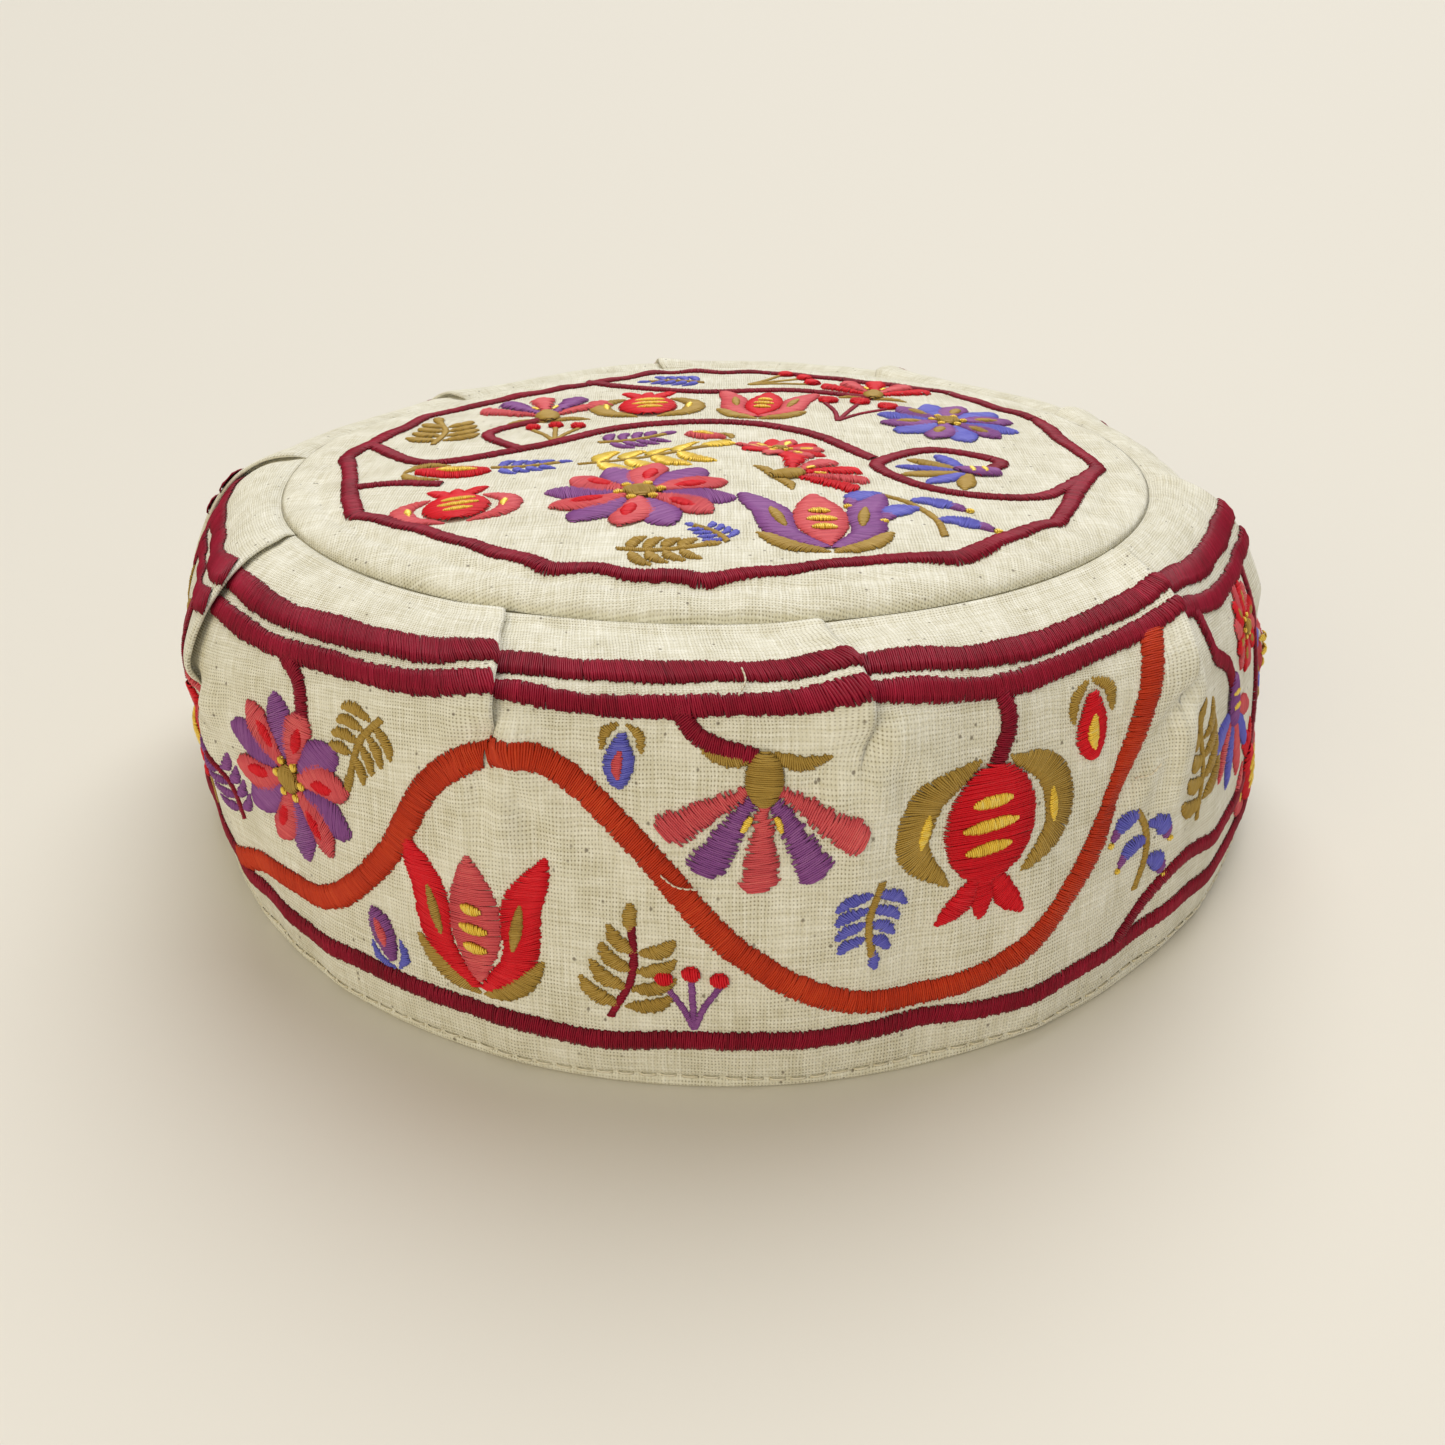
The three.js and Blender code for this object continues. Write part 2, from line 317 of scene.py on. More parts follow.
pleatRows = [
    (-92, -2, 1.85, 1.25, 0.98, 0.1),
    (-55, -6, 1.0, 1.0, 1.0, 0),
    (-19.5, -3.5, 0.15, -0.2, 1.0, 0),
    (10.5, 0, 0.05, -0.2, 1.0, 0),
    (44, 11, 0.6, 0.1, 1.0, 0.1),
    (80, 4, 1.55, 0.1, 1.0, 0.5),
    (117, 0, 1.75, -0.1, 1.0, 0.5),
    (152, 0, 1.6, 0.2, 0.98, 0.2),
    (189, 0, 1.6, 0.1, 0.98, 0),
    (228, 0, 2.0, -0.8, 0.91, 0),
]
pleats = {name: np.array([row[place] for row in pleatRows], float)
          for place, name in enumerate(pleatNames)}
pleatCount = len(pleatRows)
crownHalfWidth = capShape["hemWidth"] / 2 - capShape["shoulderAtSides"]
crownHalfDepth = capShape["hemDepth"] / 2 - capShape["shoulderAtEnds"]
hemLength = math.pi * (capShape["hemWidth"] + capShape["hemDepth"]) / 2


def ovalRadius(halfWidth, halfDepth, angle):
    return 1 / np.hypot(np.sin(angle) / halfWidth, np.cos(angle) / halfDepth)


def outward(angle):
    return np.stack([np.sin(angle), -np.cos(angle), np.zeros_like(angle)], axis=-1)


def alongHoop(angle):
    return np.stack([np.cos(angle), np.sin(angle), np.zeros_like(angle)], axis=-1)


def seamHeight(y):
    middle = (capShape["seamFront"] + capShape["seamBack"]) / 2
    slope = (capShape["seamFront"] - capShape["seamBack"]) / (2 * crownHalfDepth)
    return middle - slope * (y - capShape["crownBack"])


def makeCorners():
    angle = np.radians(pleats["angle"])
    radius = ovalRadius(capShape["hemWidth"] / 2, capShape["hemDepth"] / 2, angle)
    corners = outward(angle) * (radius + capShape["ridgeLean"] * pleats["lean"])[:, None]
    reach = ovalRadius(crownHalfWidth, crownHalfDepth, angle)
    seam = seamHeight(capShape["crownBack"] - reach * np.cos(angle))
    corners[:, 2] = seam - capShape["ridgeDrop"] * pleats["drop"]
    return corners


ridgeCorners = makeCorners()


def makeColumns(panel, along):
    # A column is one line from the hem to the seam, given by its panel's number and its place in it
    following = (panel + 1) % pleatCount
    span = (pleats["angle"][following] - pleats["angle"][panel]) % 360
    swing = mixed(pleats["swing"][panel], pleats["swing"][following], along)
    degrees = pleats["angle"][panel] + span * along
    ease = (1 - np.cos(np.pi * along)) / 2
    columns = {
        "angle": np.radians(degrees), "seamAngle": np.radians(degrees + swing),
        "seam": mixed(pleats["seam"][panel], pleats["seam"][following], ease),
        "flare": mixed(pleats["flare"][panel], pleats["flare"][following], ease),
        "x": degrees / 360 * hemLength,
    }
    start, end = ridgeCorners[panel], ridgeCorners[following]
    chord = mixed(start, end, along[:, None])
    straight = np.hypot(chord[:, 0], chord[:, 1])
    arc = mixed(np.hypot(start[:, 0], start[:, 1]), np.hypot(end[:, 0], end[:, 1]), along)
    ridge = outward(columns["angle"]) * mixed(arc, straight, capShape["tautness"])[:, None]
    ridge[:, 2] = chord[:, 2]
    columns["ridge"] = ridge
    columns["ridgeRadius"] = np.hypot(ridge[:, 0], ridge[:, 1])
    oval = ovalRadius(capShape["hemWidth"] / 2, capShape["hemDepth"] / 2, columns["angle"])
    columns["hemRadius"] = oval + capShape["hemFlare"] * columns["flare"]
    return columns


def crownEdge(columns, reach):
    # On the crown seam; a smaller reach lies further in, under the crown
    oval = ovalRadius(crownHalfWidth, crownHalfDepth, columns["seamAngle"])
    point = outward(columns["seamAngle"]) * (oval * columns["seam"] * reach)[:, None]
    point[:, 0] -= capShape["crownLeft"]
    point[:, 1] += capShape["crownBack"]
    point[:, 2] = seamHeight(point[:, 1])
    return point


def wallPoint(columns, height):
    lean = (columns["ridgeRadius"] - columns["hemRadius"]) * height ** capShape["leanOnset"]
    bulge = capShape["bulge"] * math.sin(math.pi * height ** capShape["bulgeLow"])
    point = outward(columns["angle"]) * (columns["hemRadius"] + lean + bulge)[:, None]
    point[:, 2] = columns["ridge"][:, 2] * height
    return point


def shoulderPoint(columns, inward):
    seam = crownEdge(columns, 1)
    point = mixed(columns["ridge"], seam, inward)
    upward = 1 - (1 - inward) ** capShape["shoulderRound"]
    puff = 4 * inward * (1 - inward) * capShape["shoulderPuff"]
    fromFront = (columns["angle"] + math.pi) % (2 * math.pi) - math.pi
    lip = capShape["seamLip"] * math.exp(-((inward - capShape["lipPlace"]) / capShape["lipWidth"]) ** 2)
    puff += lip * np.exp(-(fromFront / capShape["lipSpread"]) ** 2)
    point[:, 2] = mixed(columns["ridge"][:, 2], seam[:, 2] - capShape["seamGap"] / 2, upward) + puff
    return point


lapShare = 2 * capShape["seamLap"] / (crownHalfWidth + crownHalfDepth)


def bandLine(columns, rows):
    # Rows run 0 to 1 up the wall, to 2 over the ridge, to 3 over the shoulder, to 4 under the crown
    line = []
    first = wallPoint(columns, capShape["wallTop"])
    last = shoulderPoint(columns, capShape["shoulderStart"])
    for row in rows:
        if row <= 1:
            line.append(wallPoint(columns, row * capShape["wallTop"]))
        elif row <= 2:
            share = row - 1
            line.append((1 - share) ** 2 * first + 2 * share * (1 - share) * columns["ridge"]
                        + share ** 2 * last)
        elif row <= 3:
            line.append(shoulderPoint(columns, mixed(capShape["shoulderStart"], 1, row - 2)))
        else:
            point = crownEdge(columns, 1 - lapShare * (row - 3))
            point[:, 2] -= capShape["seamGap"] / 2
            line.append(point)
    return np.array(line)


# Folds. A knife pleat's edge overhangs the next panel, turns back under itself and comes out again.
# Rows of the fold: how far past the pleat's place, how far lifted, and its place where the cloth is flat

foldValues = {
    "overhang": 1.8, "tuck": 0.3, "flatGap": 0.1, "lift": 1.6, "sink": 0.9, "bump": 0.9,
    "edgeWidth": 4.5, "startWidth": 3.5, "bumpWidth": 7, "fadeLow": 0.84, "fadeHigh": 0.965,
    "wideShare": 0.3, "widePower": 5, "edgePower": 1.6, "startPower": 1.3,
    "edgeDip": 0.36, "dipFrom": 0.985, "thinning": 0.3,
    "endFrom": 0.9, "startTo": 0.06, "bulgeFrom": 0.3, "bulgeTo": 0.82, "flatMargin": 0.05,
    "shoulderFade": 0.4, "shoulderFadeRows": (0.1, 0.6), "seamFade": 0.9, "seamFadeRows": (0.8, 1),
}
foldRows = [
    (1.62, 0.6, -0.03),
    (1.1, 0.36, -0.02),
    (-0.2, 0.16, 0.0),
    (-1.6, -0.08, 0.01),
    (-2.1, -0.4, 0.02),
    (-1.5, -0.72, 0.03),
]


def pleatShares(row):
    # How much of the overlap, and of the soft bulge that it lets go into, shows in a row
    v = foldValues
    height = min(row, 1) * capShape["wallTop"] + min(max(row - 1, 0), 1) * (1 - capShape["wallTop"])
    overlap = smooth(v["fadeLow"], v["fadeHigh"], height)
    bulge = smooth(v["bulgeFrom"], v["bulgeTo"], height) * (1 - overlap)
    overlap *= 1 - v["shoulderFade"] * smooth(*v["shoulderFadeRows"], row - 2)
    overlap *= 1 - v["seamFade"] * smooth(*v["seamFadeRows"], row - 2)
    return overlap, bulge


creaseValues = {
    "kinds": ((-0.75, 0.85), (-0.12, 1.5), (0.5, 1.0)), "below": (3, 5), "length": (13, 25),
    "width": (1.7, 2.8), "scatter": 1, "leanScatter": 0.2, "depthScatter": (0.75, 1.25),
    "bankPlace": 1.9, "bankWidth": 1.3, "bankHeight": 0.6, "fullShare": 0.4, "onset": 3,
    "hemOnset": 0.03, "seamEndRows": (2.2, 2.9),
}


def creasePattern():
    # Soft creases fan out below each pleat: start, lean, length, width and depth
    v = creaseValues
    rows = []
    for place in range(pleatCount):
        x = pleats["angle"][place] / 360 * hemLength
        top = ridgeCorners[place][2]
        for lean, depth in v["kinds"]:
            rows.append((x + rng.uniform(-v["scatter"], v["scatter"]), top - rng.uniform(*v["below"]),
                         lean + rng.uniform(-v["leanScatter"], v["leanScatter"]),
                         rng.uniform(*v["length"]), rng.uniform(*v["width"]),
                         depth * rng.uniform(*v["depthScatter"])))
    return rows


def wavePattern(number, counts, slope, depth):
    # Waves round the band: how many go round, then phase, slope and depth
    return [(rng.integers(*counts), rng.uniform(*anyPhase), rng.uniform(-slope, slope), rng.uniform(*depth))
            for _ in range(number)]


hemValues = {"edgeRound": 0.8, "stitchHeight": 1.9, "grooveDepth": 0.3, "grooveWidth": 0.45,
             "uprightRows": 0.012}
creases = creasePattern()
waves = wavePattern(9, (5, 19), 0.09, (0.07, 0.19)) + wavePattern(8, (22, 60), 0.2, (0.02, 0.05))


def softness(x, y):
    # Lift of the cloth by its own creases and waves, x along the hem and y up from it
    v = creaseValues
    lift = np.zeros_like(x)
    for startX, startY, lean, length, width, depth in creases:
        down = startY - y
        centre = startX + lean * down
        offset = (x - centre + hemLength / 2) % hemLength - hemLength / 2
        fade = smooth(-v["onset"], v["onset"], down) * (1 - smooth(v["fullShare"] * length, length, down))
        lift -= depth * fade * np.exp(-(offset / width) ** 2)
        bank = np.exp(-((offset - v["bankPlace"] * width) / (v["bankWidth"] * width)) ** 2)
        lift += v["bankHeight"] * depth * fade * bank
    fromStitches = (y - hemValues["stitchHeight"]) / hemValues["grooveWidth"]
    lift -= hemValues["grooveDepth"] * np.exp(-fromStitches ** 2)
    turn = x / hemLength * 2 * math.pi
    for count, phase, slope, depth in waves:
        lift += depth * np.sin(count * turn + phase + slope * y)
    return lift


def panelLift(along):
    # The lift of a folded panel and of its soft bulge, in millimetres
    v = foldValues
    width = hemLength / pleatCount
    left, right = along * width, (1 - along) * width
    edge = (v["wideShare"] * along ** v["widePower"]
            + (1 - v["wideShare"]) * np.exp(-(right / v["edgeWidth"]) ** v["edgePower"]))
    edge *= 1 - v["edgeDip"] * smooth(v["dipFrom"], 1, along)
    folded = v["lift"] * edge - v["sink"] * np.exp(-(left / v["startWidth"]) ** v["startPower"])
    bulge = v["bump"] * (np.exp(-(left / v["bumpWidth"]) ** 2) + np.exp(-(right / v["bumpWidth"]) ** 2))
    return folded, bulge


def bandSkin(columns, rows, lifts, bulges, shifts, flats):
    # The outer face: the plain line, lifted by folds and creases and slid along by the overlap
    line = bandLine(columns, rows)
    hoop = alongHoop(columns["angle"])
    tangent = np.gradient(line, axis=0)
    normal = np.cross(np.broadcast_to(hoop, tangent.shape), tangent)
    low = np.array(rows) < hemValues["uprightRows"]
    normal[low, :, 2] = 0
    normal = unit(normal)
    plain = line.copy()
    for place, row in enumerate(rows):
        overlap, bulge = pleatShares(row)
        crease = softness(columns["x"], line[place][:, 2]) * smooth(0, creaseValues["hemOnset"], row)
        crease *= 1 - smooth(*creaseValues["seamEndRows"], row)
        height = lifts * overlap + bulges * bulge + crease
        slide = mixed(flats, shifts, overlap)
        line[place] += normal[place] * height[:, None] + hoop * slide[:, None]
    return line, plain, normal


# Steps across a panel, closer at its start and at the fold that it ends in
alongSteps = np.concatenate([
    np.linspace(0, 0.1, 11)[:-1],
    np.linspace(0.1, 0.86, 30)[:-1],
    np.linspace(0.86, 1.0, 14),
])


def edgeSlides(along):
    # Near its ends a panel slides: its fold overhangs the next one, and its start is tucked in
    half = foldValues["flatGap"] / 2
    ending = smooth(foldValues["endFrom"], 1, along)
    starting = 1 - smooth(0, foldValues["startTo"], along)
    folded = foldValues["overhang"] * ending - foldValues["tuck"] * starting
    flat = half * starting - half * ending
    return folded, flat


def bandColumns():
    # Every column of the band: its panel, place, folded lift, bulge, and slide when folded and flat
    lifts, bulges = panelLift(alongSteps)
    folded, flat = edgeSlides(alongSteps)
    rows = []
    for place in range(pleatCount):
        rows += [(place, *values) for values in zip(alongSteps, lifts, bulges, folded, flat)]
        rows += [(place, 1.0, lift, bulges[-1], past, level) for past, lift, level in foldRows]
    panel, *others = (np.array(values) for values in zip(*rows))
    return panel.astype(int), *others


# Rows from the hem to under the crown, as in bandLine, closest at the hem's round edge
outerRows = np.concatenate([
    (0, 0.002, 0.005, 0.009, 0.014, 0.02, 0.026, 0.032, 0.038, 0.045),
    np.linspace(0.055, 1, 34),
    np.linspace(1, 2, 10)[1:],
    np.linspace(2, 2.7, 10)[1:],
    np.linspace(2.7, 3, 10)[1:],
    (3.4, 4.0),
])
innerRows = np.array([0, 0.08, 0.2, 0.35, 0.5, 0.65, 0.8, 0.92, 1, 1.33, 1.66, 2, 2.3, 2.6, 2.85, 3, 4])


def hemRounding(rows, wallHeight):
    # The folded hem has a round lower edge
    height = np.clip(rows * wallHeight / hemValues["edgeRound"], 0, 1)
    return hemValues["edgeRound"] * (1 - np.sqrt(1 - (1 - height) ** 2))


def gridFaces(rings, around, closed=False):
    # Faces from ring to ring; a closed grid also joins the last ring to the first
    faces = []
    for ring in range(rings if closed else rings - 1):
        low, high = ring * around, (ring + 1) % rings * around
        for step in range(around):
            onward = (step + 1) % around
            faces.append((low + step, low + onward, high + onward, high + step))
    return faces


def setCoordinates(piece, across, upward, around):
    # One UV map in millimetres of cloth, so that the weave follows it; no stretch where the ring closes
    mesh = piece.data
    layer = mesh.uv_layers.new(name="clothMm")
    corners = np.empty(len(mesh.loops), dtype=np.int64)
    mesh.loops.foreach_get("vertex_index", corners)
    faceOf = np.repeat(np.arange(len(mesh.polygons)), [polygon.loop_total for polygon in mesh.polygons])
    u, w = across[corners], upward[corners]
    highest = np.full(len(mesh.polygons), -1e9)
    np.maximum.at(highest, faceOf, u)
    if around:
        u = np.where(highest[faceOf] - u > around / 2, u + around, u)
    layer.data.foreach_set("uv", np.stack([u, w], axis=1).ravel())


def makeBand(shift):
    panel, along, lifts, bulges, shifts, flats = bandColumns()
    columns = makeColumns(panel, along)
    outer, _, normal = bandSkin(columns, outerRows, lifts, bulges, shifts, flats)
    rounding = hemRounding(outerRows[:, None], columns["ridge"][None, :, 2])
    outer -= normal * rounding[:, :, None]
    _, plain, normal = bandSkin(columns, innerRows, lifts, bulges, flats, flats)
    overlap = np.array([pleatShares(row)[0] for row in innerRows])
    depth = capShape["bandWall"] - foldValues["thinning"] * overlap[:, None] * lifts[None, :]
    inner = plain - normal * depth[:, :, None] + alongHoop(columns["angle"]) * flats[:, None]
    rings = np.concatenate([outer, inner[::-1]])
    around = len(panel)
    faces = gridFaces(len(rings), around, closed=True)
    piece = makeMesh("bandCloth", rings.reshape(-1, 3) + shift, faces, canvas)
    up = np.concatenate([[0], np.cumsum(stepLengths(rings).mean(axis=1))])
    across = columns["x"] - columns["x"][0] + flats
    setCoordinates(piece, np.tile(across, len(rings)), np.repeat(up, around), hemLength)
    return piece


# Finds a place on the band from millimetres along and up the cloth, for the stitches

lookupValues = {"along": 121, "up": 200, "wallRows": 90, "ridgeRows": 24, "shoulderRows": 40}


def bandLookup():
    v = lookupValues
    samples, count = v["along"], v["up"]
    steps = np.linspace(0, 1, samples)
    panel = np.repeat(np.arange(pleatCount), samples)
    along = np.tile(steps, pleatCount)
    folded, flat = edgeSlides(along)
    columns = makeColumns(panel, along)
    rows = np.concatenate([np.linspace(0, 1, v["wallRows"]), np.linspace(1, 2, v["ridgeRows"])[1:],
                           np.linspace(2, 3, v["shoulderRows"])[1:]])
    outer, plain, _ = bandSkin(columns, rows, *panelLift(along), folded, flat)
    lengths = np.concatenate([np.zeros((1, len(panel))), np.cumsum(stepLengths(plain), axis=0)])
    even = np.linspace(0, 1, count)
    grid = np.empty((count, len(panel), 3))
    for column in range(len(panel)):
        share = lengths[:, column] / lengths[-1, column]
        for axis in range(3):
            grid[:, column, axis] = np.interp(even, share, outer[:, column, axis])
    grid = grid.reshape(count, pleatCount, samples, 3)
    facing = unit(np.cross(np.gradient(grid, axis=2), np.gradient(grid, axis=0)))
    return grid, facing, lengths[-1].reshape(pleatCount, samples)


bandGrid, bandFacing, bandLengths = bandLookup()


def panelOf(x):
    # Which panel a place along the hem is in
    first = pleats["angle"][0]
    degrees = (np.asarray(x, float) / hemLength * 360 - first) % 360 + first
    return np.clip(np.searchsorted(pleats["angle"], degrees, side="right") - 1, 0, pleatCount - 1)


def alongIn(panel, x):
    # How far into that panel a place along the hem is, from 0 to 1
    start = pleats["angle"][panel]
    span = (pleats["angle"][(panel + 1) % pleatCount] - start) % 360
    degrees = (np.asarray(x, float) / hemLength * 360 - start + 180) % 360 - 180
    degrees = np.where(degrees < -90, degrees + 360, degrees)
    return np.clip(degrees / span, 0, 1)


def splitPlace(share, count):
    # The entry of a table of count entries that lies before a share of its length, and how far past it
    place = share * (count - 1)
    before = np.clip(place.astype(int), 0, count - 2)
    return before, place - before


def bandHeight(x):
    # Length of cloth from the hem to the seam there
    x = np.atleast_1d(x)
    panel = panelOf(x)
    left, part = splitPlace(alongIn(panel, x), lookupValues["along"])
    return mixed(bandLengths[panel, left], bandLengths[panel, left + 1], part)


def onBand(points, home):
    # points: (stitches, corners, 2). Up by the folds a stitch stays on the panel of its middle, home,
    # and lower down, where the cloth is flat, it may cross from one panel to the next.
    panel = panelOf(home)
    corner = ridgeCorners[:, 2]
    foldStart = (foldValues["fadeLow"] + foldValues["flatMargin"]) \
        * np.minimum(corner[panel], corner[(panel + 1) % pleatCount])
    low = points[..., 1].mean(axis=1) < foldStart
    panel = np.where(low[:, None], panelOf(points[..., 0]), panel[:, None])
    left, part = splitPlace(alongIn(panel, points[..., 0]), lookupValues["along"])
    length = mixed(bandLengths[panel, left], bandLengths[panel, left + 1], part)
    level, rise = splitPlace(np.clip(points[..., 1] / length, 0, 1), lookupValues["up"])
    found = []
    for grid in (bandGrid, bandFacing):
        lower, upper = (mixed(grid[row, panel, left], grid[row, panel, left + 1], part[..., None])
                        for row in (level, level + 1))
        found.append(mixed(lower, upper, rise[..., None]))
    return found[0], unit(found[1])


print("band shape worked out")


# Crown

crownValues = {
    "rollWidth": 0.11, "rollPower": 2.1, "sideRoll": 0.22, "frontSpread": 1.1,
    "wobbleOnset": (0.75, 0.95), "waveFade": (0.8, 0.97),
    "grooveReach": 0.915, "grooveWidth": 0.018, "grooveDepth": 0.8, "sideGroove": 0.35,
    "columns": 300, "rings": 30, "rimRings": 25, "rimMargin": 0.03, "lapRing": 0.4,
    "insideRings": (0.925, 0.88, 0.75, 0.55, 0.35, 0.17), "slopeStep": 0.4,
    "designScale": 1.12, "flowerScale": 1.25,
}
# Waves of the crown: depth, phase and slopes. Waves of its edge: how many go round, phase and depth
crownWaves = [(rng.uniform(0.05, 0.16), rng.uniform(*anyPhase), rng.uniform(-0.09, 0.09),
               rng.uniform(-0.09, 0.09)) for _ in range(10)]
edgeWaves = [(rng.integers(9, 46), rng.uniform(*anyPhase), rng.uniform(0.03, 0.12)) for _ in range(9)]


def crownRadiusTable():
    # The crown's reach all round, which follows the seam of every panel
    steps = np.linspace(0, 1, 60, endpoint=False)
    panel = np.repeat(np.arange(pleatCount), len(steps))
    columns = makeColumns(panel, np.tile(steps, pleatCount))
    radius = ovalRadius(crownHalfWidth, crownHalfDepth, columns["seamAngle"]) * columns["seam"]
    order = np.argsort(columns["seamAngle"] % (2 * math.pi))
    return (columns["seamAngle"] % (2 * math.pi))[order], radius[order]


crownAngles, crownRadii = crownRadiusTable()


def crownRadius(angle):
    return np.interp(angle % (2 * math.pi), crownAngles, crownRadii, period=2 * math.pi)


def crownSurface(x, y):
    # Height of the crown's top at a place measured from its own middle
    angle = np.arctan2(x, -y)
    reach = np.hypot(x, y) / crownRadius(angle)
    v = crownValues
    outer = np.clip((reach - 1 + v["rollWidth"]) / v["rollWidth"], 0, 1)
    wobble = sum(depth * np.sin(count * angle + phase) for count, phase, depth in edgeWaves)
    roll = (1 - outer ** v["rollPower"]) ** (1 / v["rollPower"])
    height = seamHeight(y + capShape["crownBack"]) + capShape["seamGap"] / 2
    rise = capShape["crownRoll"] * mixed(v["sideRoll"], 1, np.exp(-(angle / v["frontSpread"]) ** 4))
    height = height + (rise + wobble * smooth(*v["wobbleOnset"], reach)) * roll
    height = height + capShape["crownRise"] * (1 - reach ** 2)
    inner = 1 - smooth(*v["waveFade"], reach)
    for depth, phase, slopeX, slopeY in crownWaves:
        height = height + depth * np.sin(slopeX * x + slopeY * y + phase) * inner
    front = mixed(v["sideGroove"], 1, np.exp(-(angle / v["frontSpread"]) ** 2))
    groove = np.exp(-((reach - v["grooveReach"]) / v["grooveWidth"]) ** 2)
    return height - v["grooveDepth"] * front * groove


def onCrown(points, home):
    # The crown is one smooth piece, so a stitch's home doesn't matter
    x, y = points[..., 0], points[..., 1]
    step = crownValues["slopeStep"]
    height = crownSurface(x, y)
    slopeX = (crownSurface(x + step, y) - crownSurface(x - step, y)) / (2 * step)
    slopeY = (crownSurface(x, y + step) - crownSurface(x, y - step)) / (2 * step)
    place = np.stack([x - capShape["crownLeft"], y + capShape["crownBack"], height], axis=-1)
    return place, unit(np.stack([-slopeX, -slopeY, np.ones_like(x)], axis=-1))


def lapHeight(x, y):
    return seamHeight(y + capShape["crownBack"]) + capShape["seamGap"] / 2


def insideHeight(x, y):
    return crownSurface(x, y) - capShape["crownWall"]


def makeCrown(shift):
    v = crownValues
    angle = np.linspace(0, 2 * math.pi, v["columns"], endpoint=False)
    radius = crownRadius(angle)
    direction = outward(angle)

    def ring(reach, heightAt):
        flat = direction * (radius * reach)[:, None]
        return np.stack([flat[:, 0], flat[:, 1], heightAt(flat[:, 0], flat[:, 1])], axis=1)

    rimWidth = v["rollWidth"] + v["rimMargin"]
    inside = np.linspace(0, 1, v["rings"])[1:] * (1 - rimWidth)
    rim = 1 - rimWidth * np.cos(np.linspace(0, math.pi / 2, v["rimRings"]))[1:]
    rings = [ring(reach, crownSurface) for reach in np.concatenate([inside, rim])]
    rings += [ring(reach, lapHeight) for reach in (1 - v["lapRing"] * lapShare, 1 - lapShare)]
    outerCount = len(rings)
    rings += [ring(reach, insideHeight) for reach in v["insideRings"]]
    points = np.concatenate(rings)
    middle = crownSurface(np.zeros(1), np.zeros(1))[0]
    points = np.concatenate([points, [[0, 0, middle], [0, 0, middle - capShape["crownWall"]]]])
    around = v["columns"]
    faces = [face[::-1] for face in gridFaces(len(rings), around)]
    top, under = len(points) - 2, len(points) - 1
    last = (len(rings) - 1) * around
    for step in range(around):
        onward = (step + 1) % around
        faces.append((top, step, onward))
        faces.append((under, last + onward, last + step))
    centre = np.array([-capShape["crownLeft"], capShape["crownBack"], 0])
    piece = makeMesh("crownCloth", points + centre + shift, faces, canvas)
    steps = stepLengths(np.array([np.tile(points[top], (around, 1))] + rings)).mean(axis=1)
    spread = (direction[None] * np.cumsum(steps)[:, None, None]).reshape(-1, 3)
    spread[outerCount * around:, :2] = points[outerCount * around:-2, :2]  # the inside lies flat
    spread = np.concatenate([spread, np.zeros((2, 3))])
    setCoordinates(piece, spread[:, 0], spread[:, 1], 0)
    return piece


def capShift():
    # The frame's origin is the middle of the footprint: the plain shape moves to the CAD band's box
    panel, along = bandColumns()[:2]
    line = bandLine(makeColumns(panel, along), outerRows)
    low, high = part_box("band")
    middle = [(low[axis] + high[axis]) / 2 / mm for axis in range(2)]
    found = (line.reshape(-1, 3).min(axis=0) + line.reshape(-1, 3).max(axis=0)) / 2
    return np.array([middle[0] - found[0], middle[1] - found[1], 0])


shift = capShift()
print("shift to the frame", shift.round(3).tolist())
bandCloth = makeBand(shift)
crownCloth = makeCrown(shift)
print("cloth made", len(bandCloth.data.polygons), len(crownCloth.data.polygons))


# One strand of thread, modelled once: a three-sided bar, flat side down, with two rings and a tip at
# each end. Its x is across the strand, its y runs 0 to 1 along it, and its z is up.

strandValues = {
    "rings": (0.28, 0.72), "end": 0.06, "width": 0.42, "thickness": 0.22, "spacing": 0.285, "dive": 0.3,
    # The end shade below sets how dark the painted shade makes a strand's ends
    "sunk": 0.3, "paintedEndShade": 0.35, "plyStep": 1.7, "leastHalf": 0.22, "fullArch": 1.3, "archScatter": 0.03,
    "turnScatter": 3, "looseTurn": 3.5, "shadeScatter": 0.13, "slowShade": 0.12, "slowTurn": 0.09,
    "slowPhase": (0, 6),
}


def makeStrand():
    v = strandValues
    bpy.ops.object.select_all(action="DESELECT")
    bpy.ops.mesh.primitive_cylinder_add(vertices=3, radius=0.5, depth=1 - 2 * v["end"],
                                        end_fill_type="TRIFAN", location=(0, 0.5, 0),
                                        rotation=(math.radians(90), 0, 0))
    bar = bpy.context.object
    bpy.ops.object.transform_apply(location=True, rotation=True, scale=True)
    bpy.ops.object.mode_set(mode="EDIT")
    for ring in v["rings"]:
        bpy.ops.mesh.select_all(action="SELECT")
        bpy.ops.mesh.bisect(plane_co=(0, ring, 0), plane_no=(0, 1, 0))
    bpy.ops.object.mode_set(mode="OBJECT")
    mesh = bar.data
    for vertex in mesh.vertices:  # the middle of each end fan becomes the tip
        if abs(vertex.co.x) < 0.01 and abs(vertex.co.z) < 0.01:
            vertex.co.y = 0.0 if vertex.co.y < 0.5 else 1.0
    points = np.array([vertex.co for vertex in mesh.vertices])
    faces = [tuple(polygon.vertices) for polygon in mesh.polygons]
    bpy.data.objects.remove(bar)
    bpy.data.meshes.remove(mesh)
    return points, faces


strandPoints, strandFaces = makeStrand()
stitches = {}


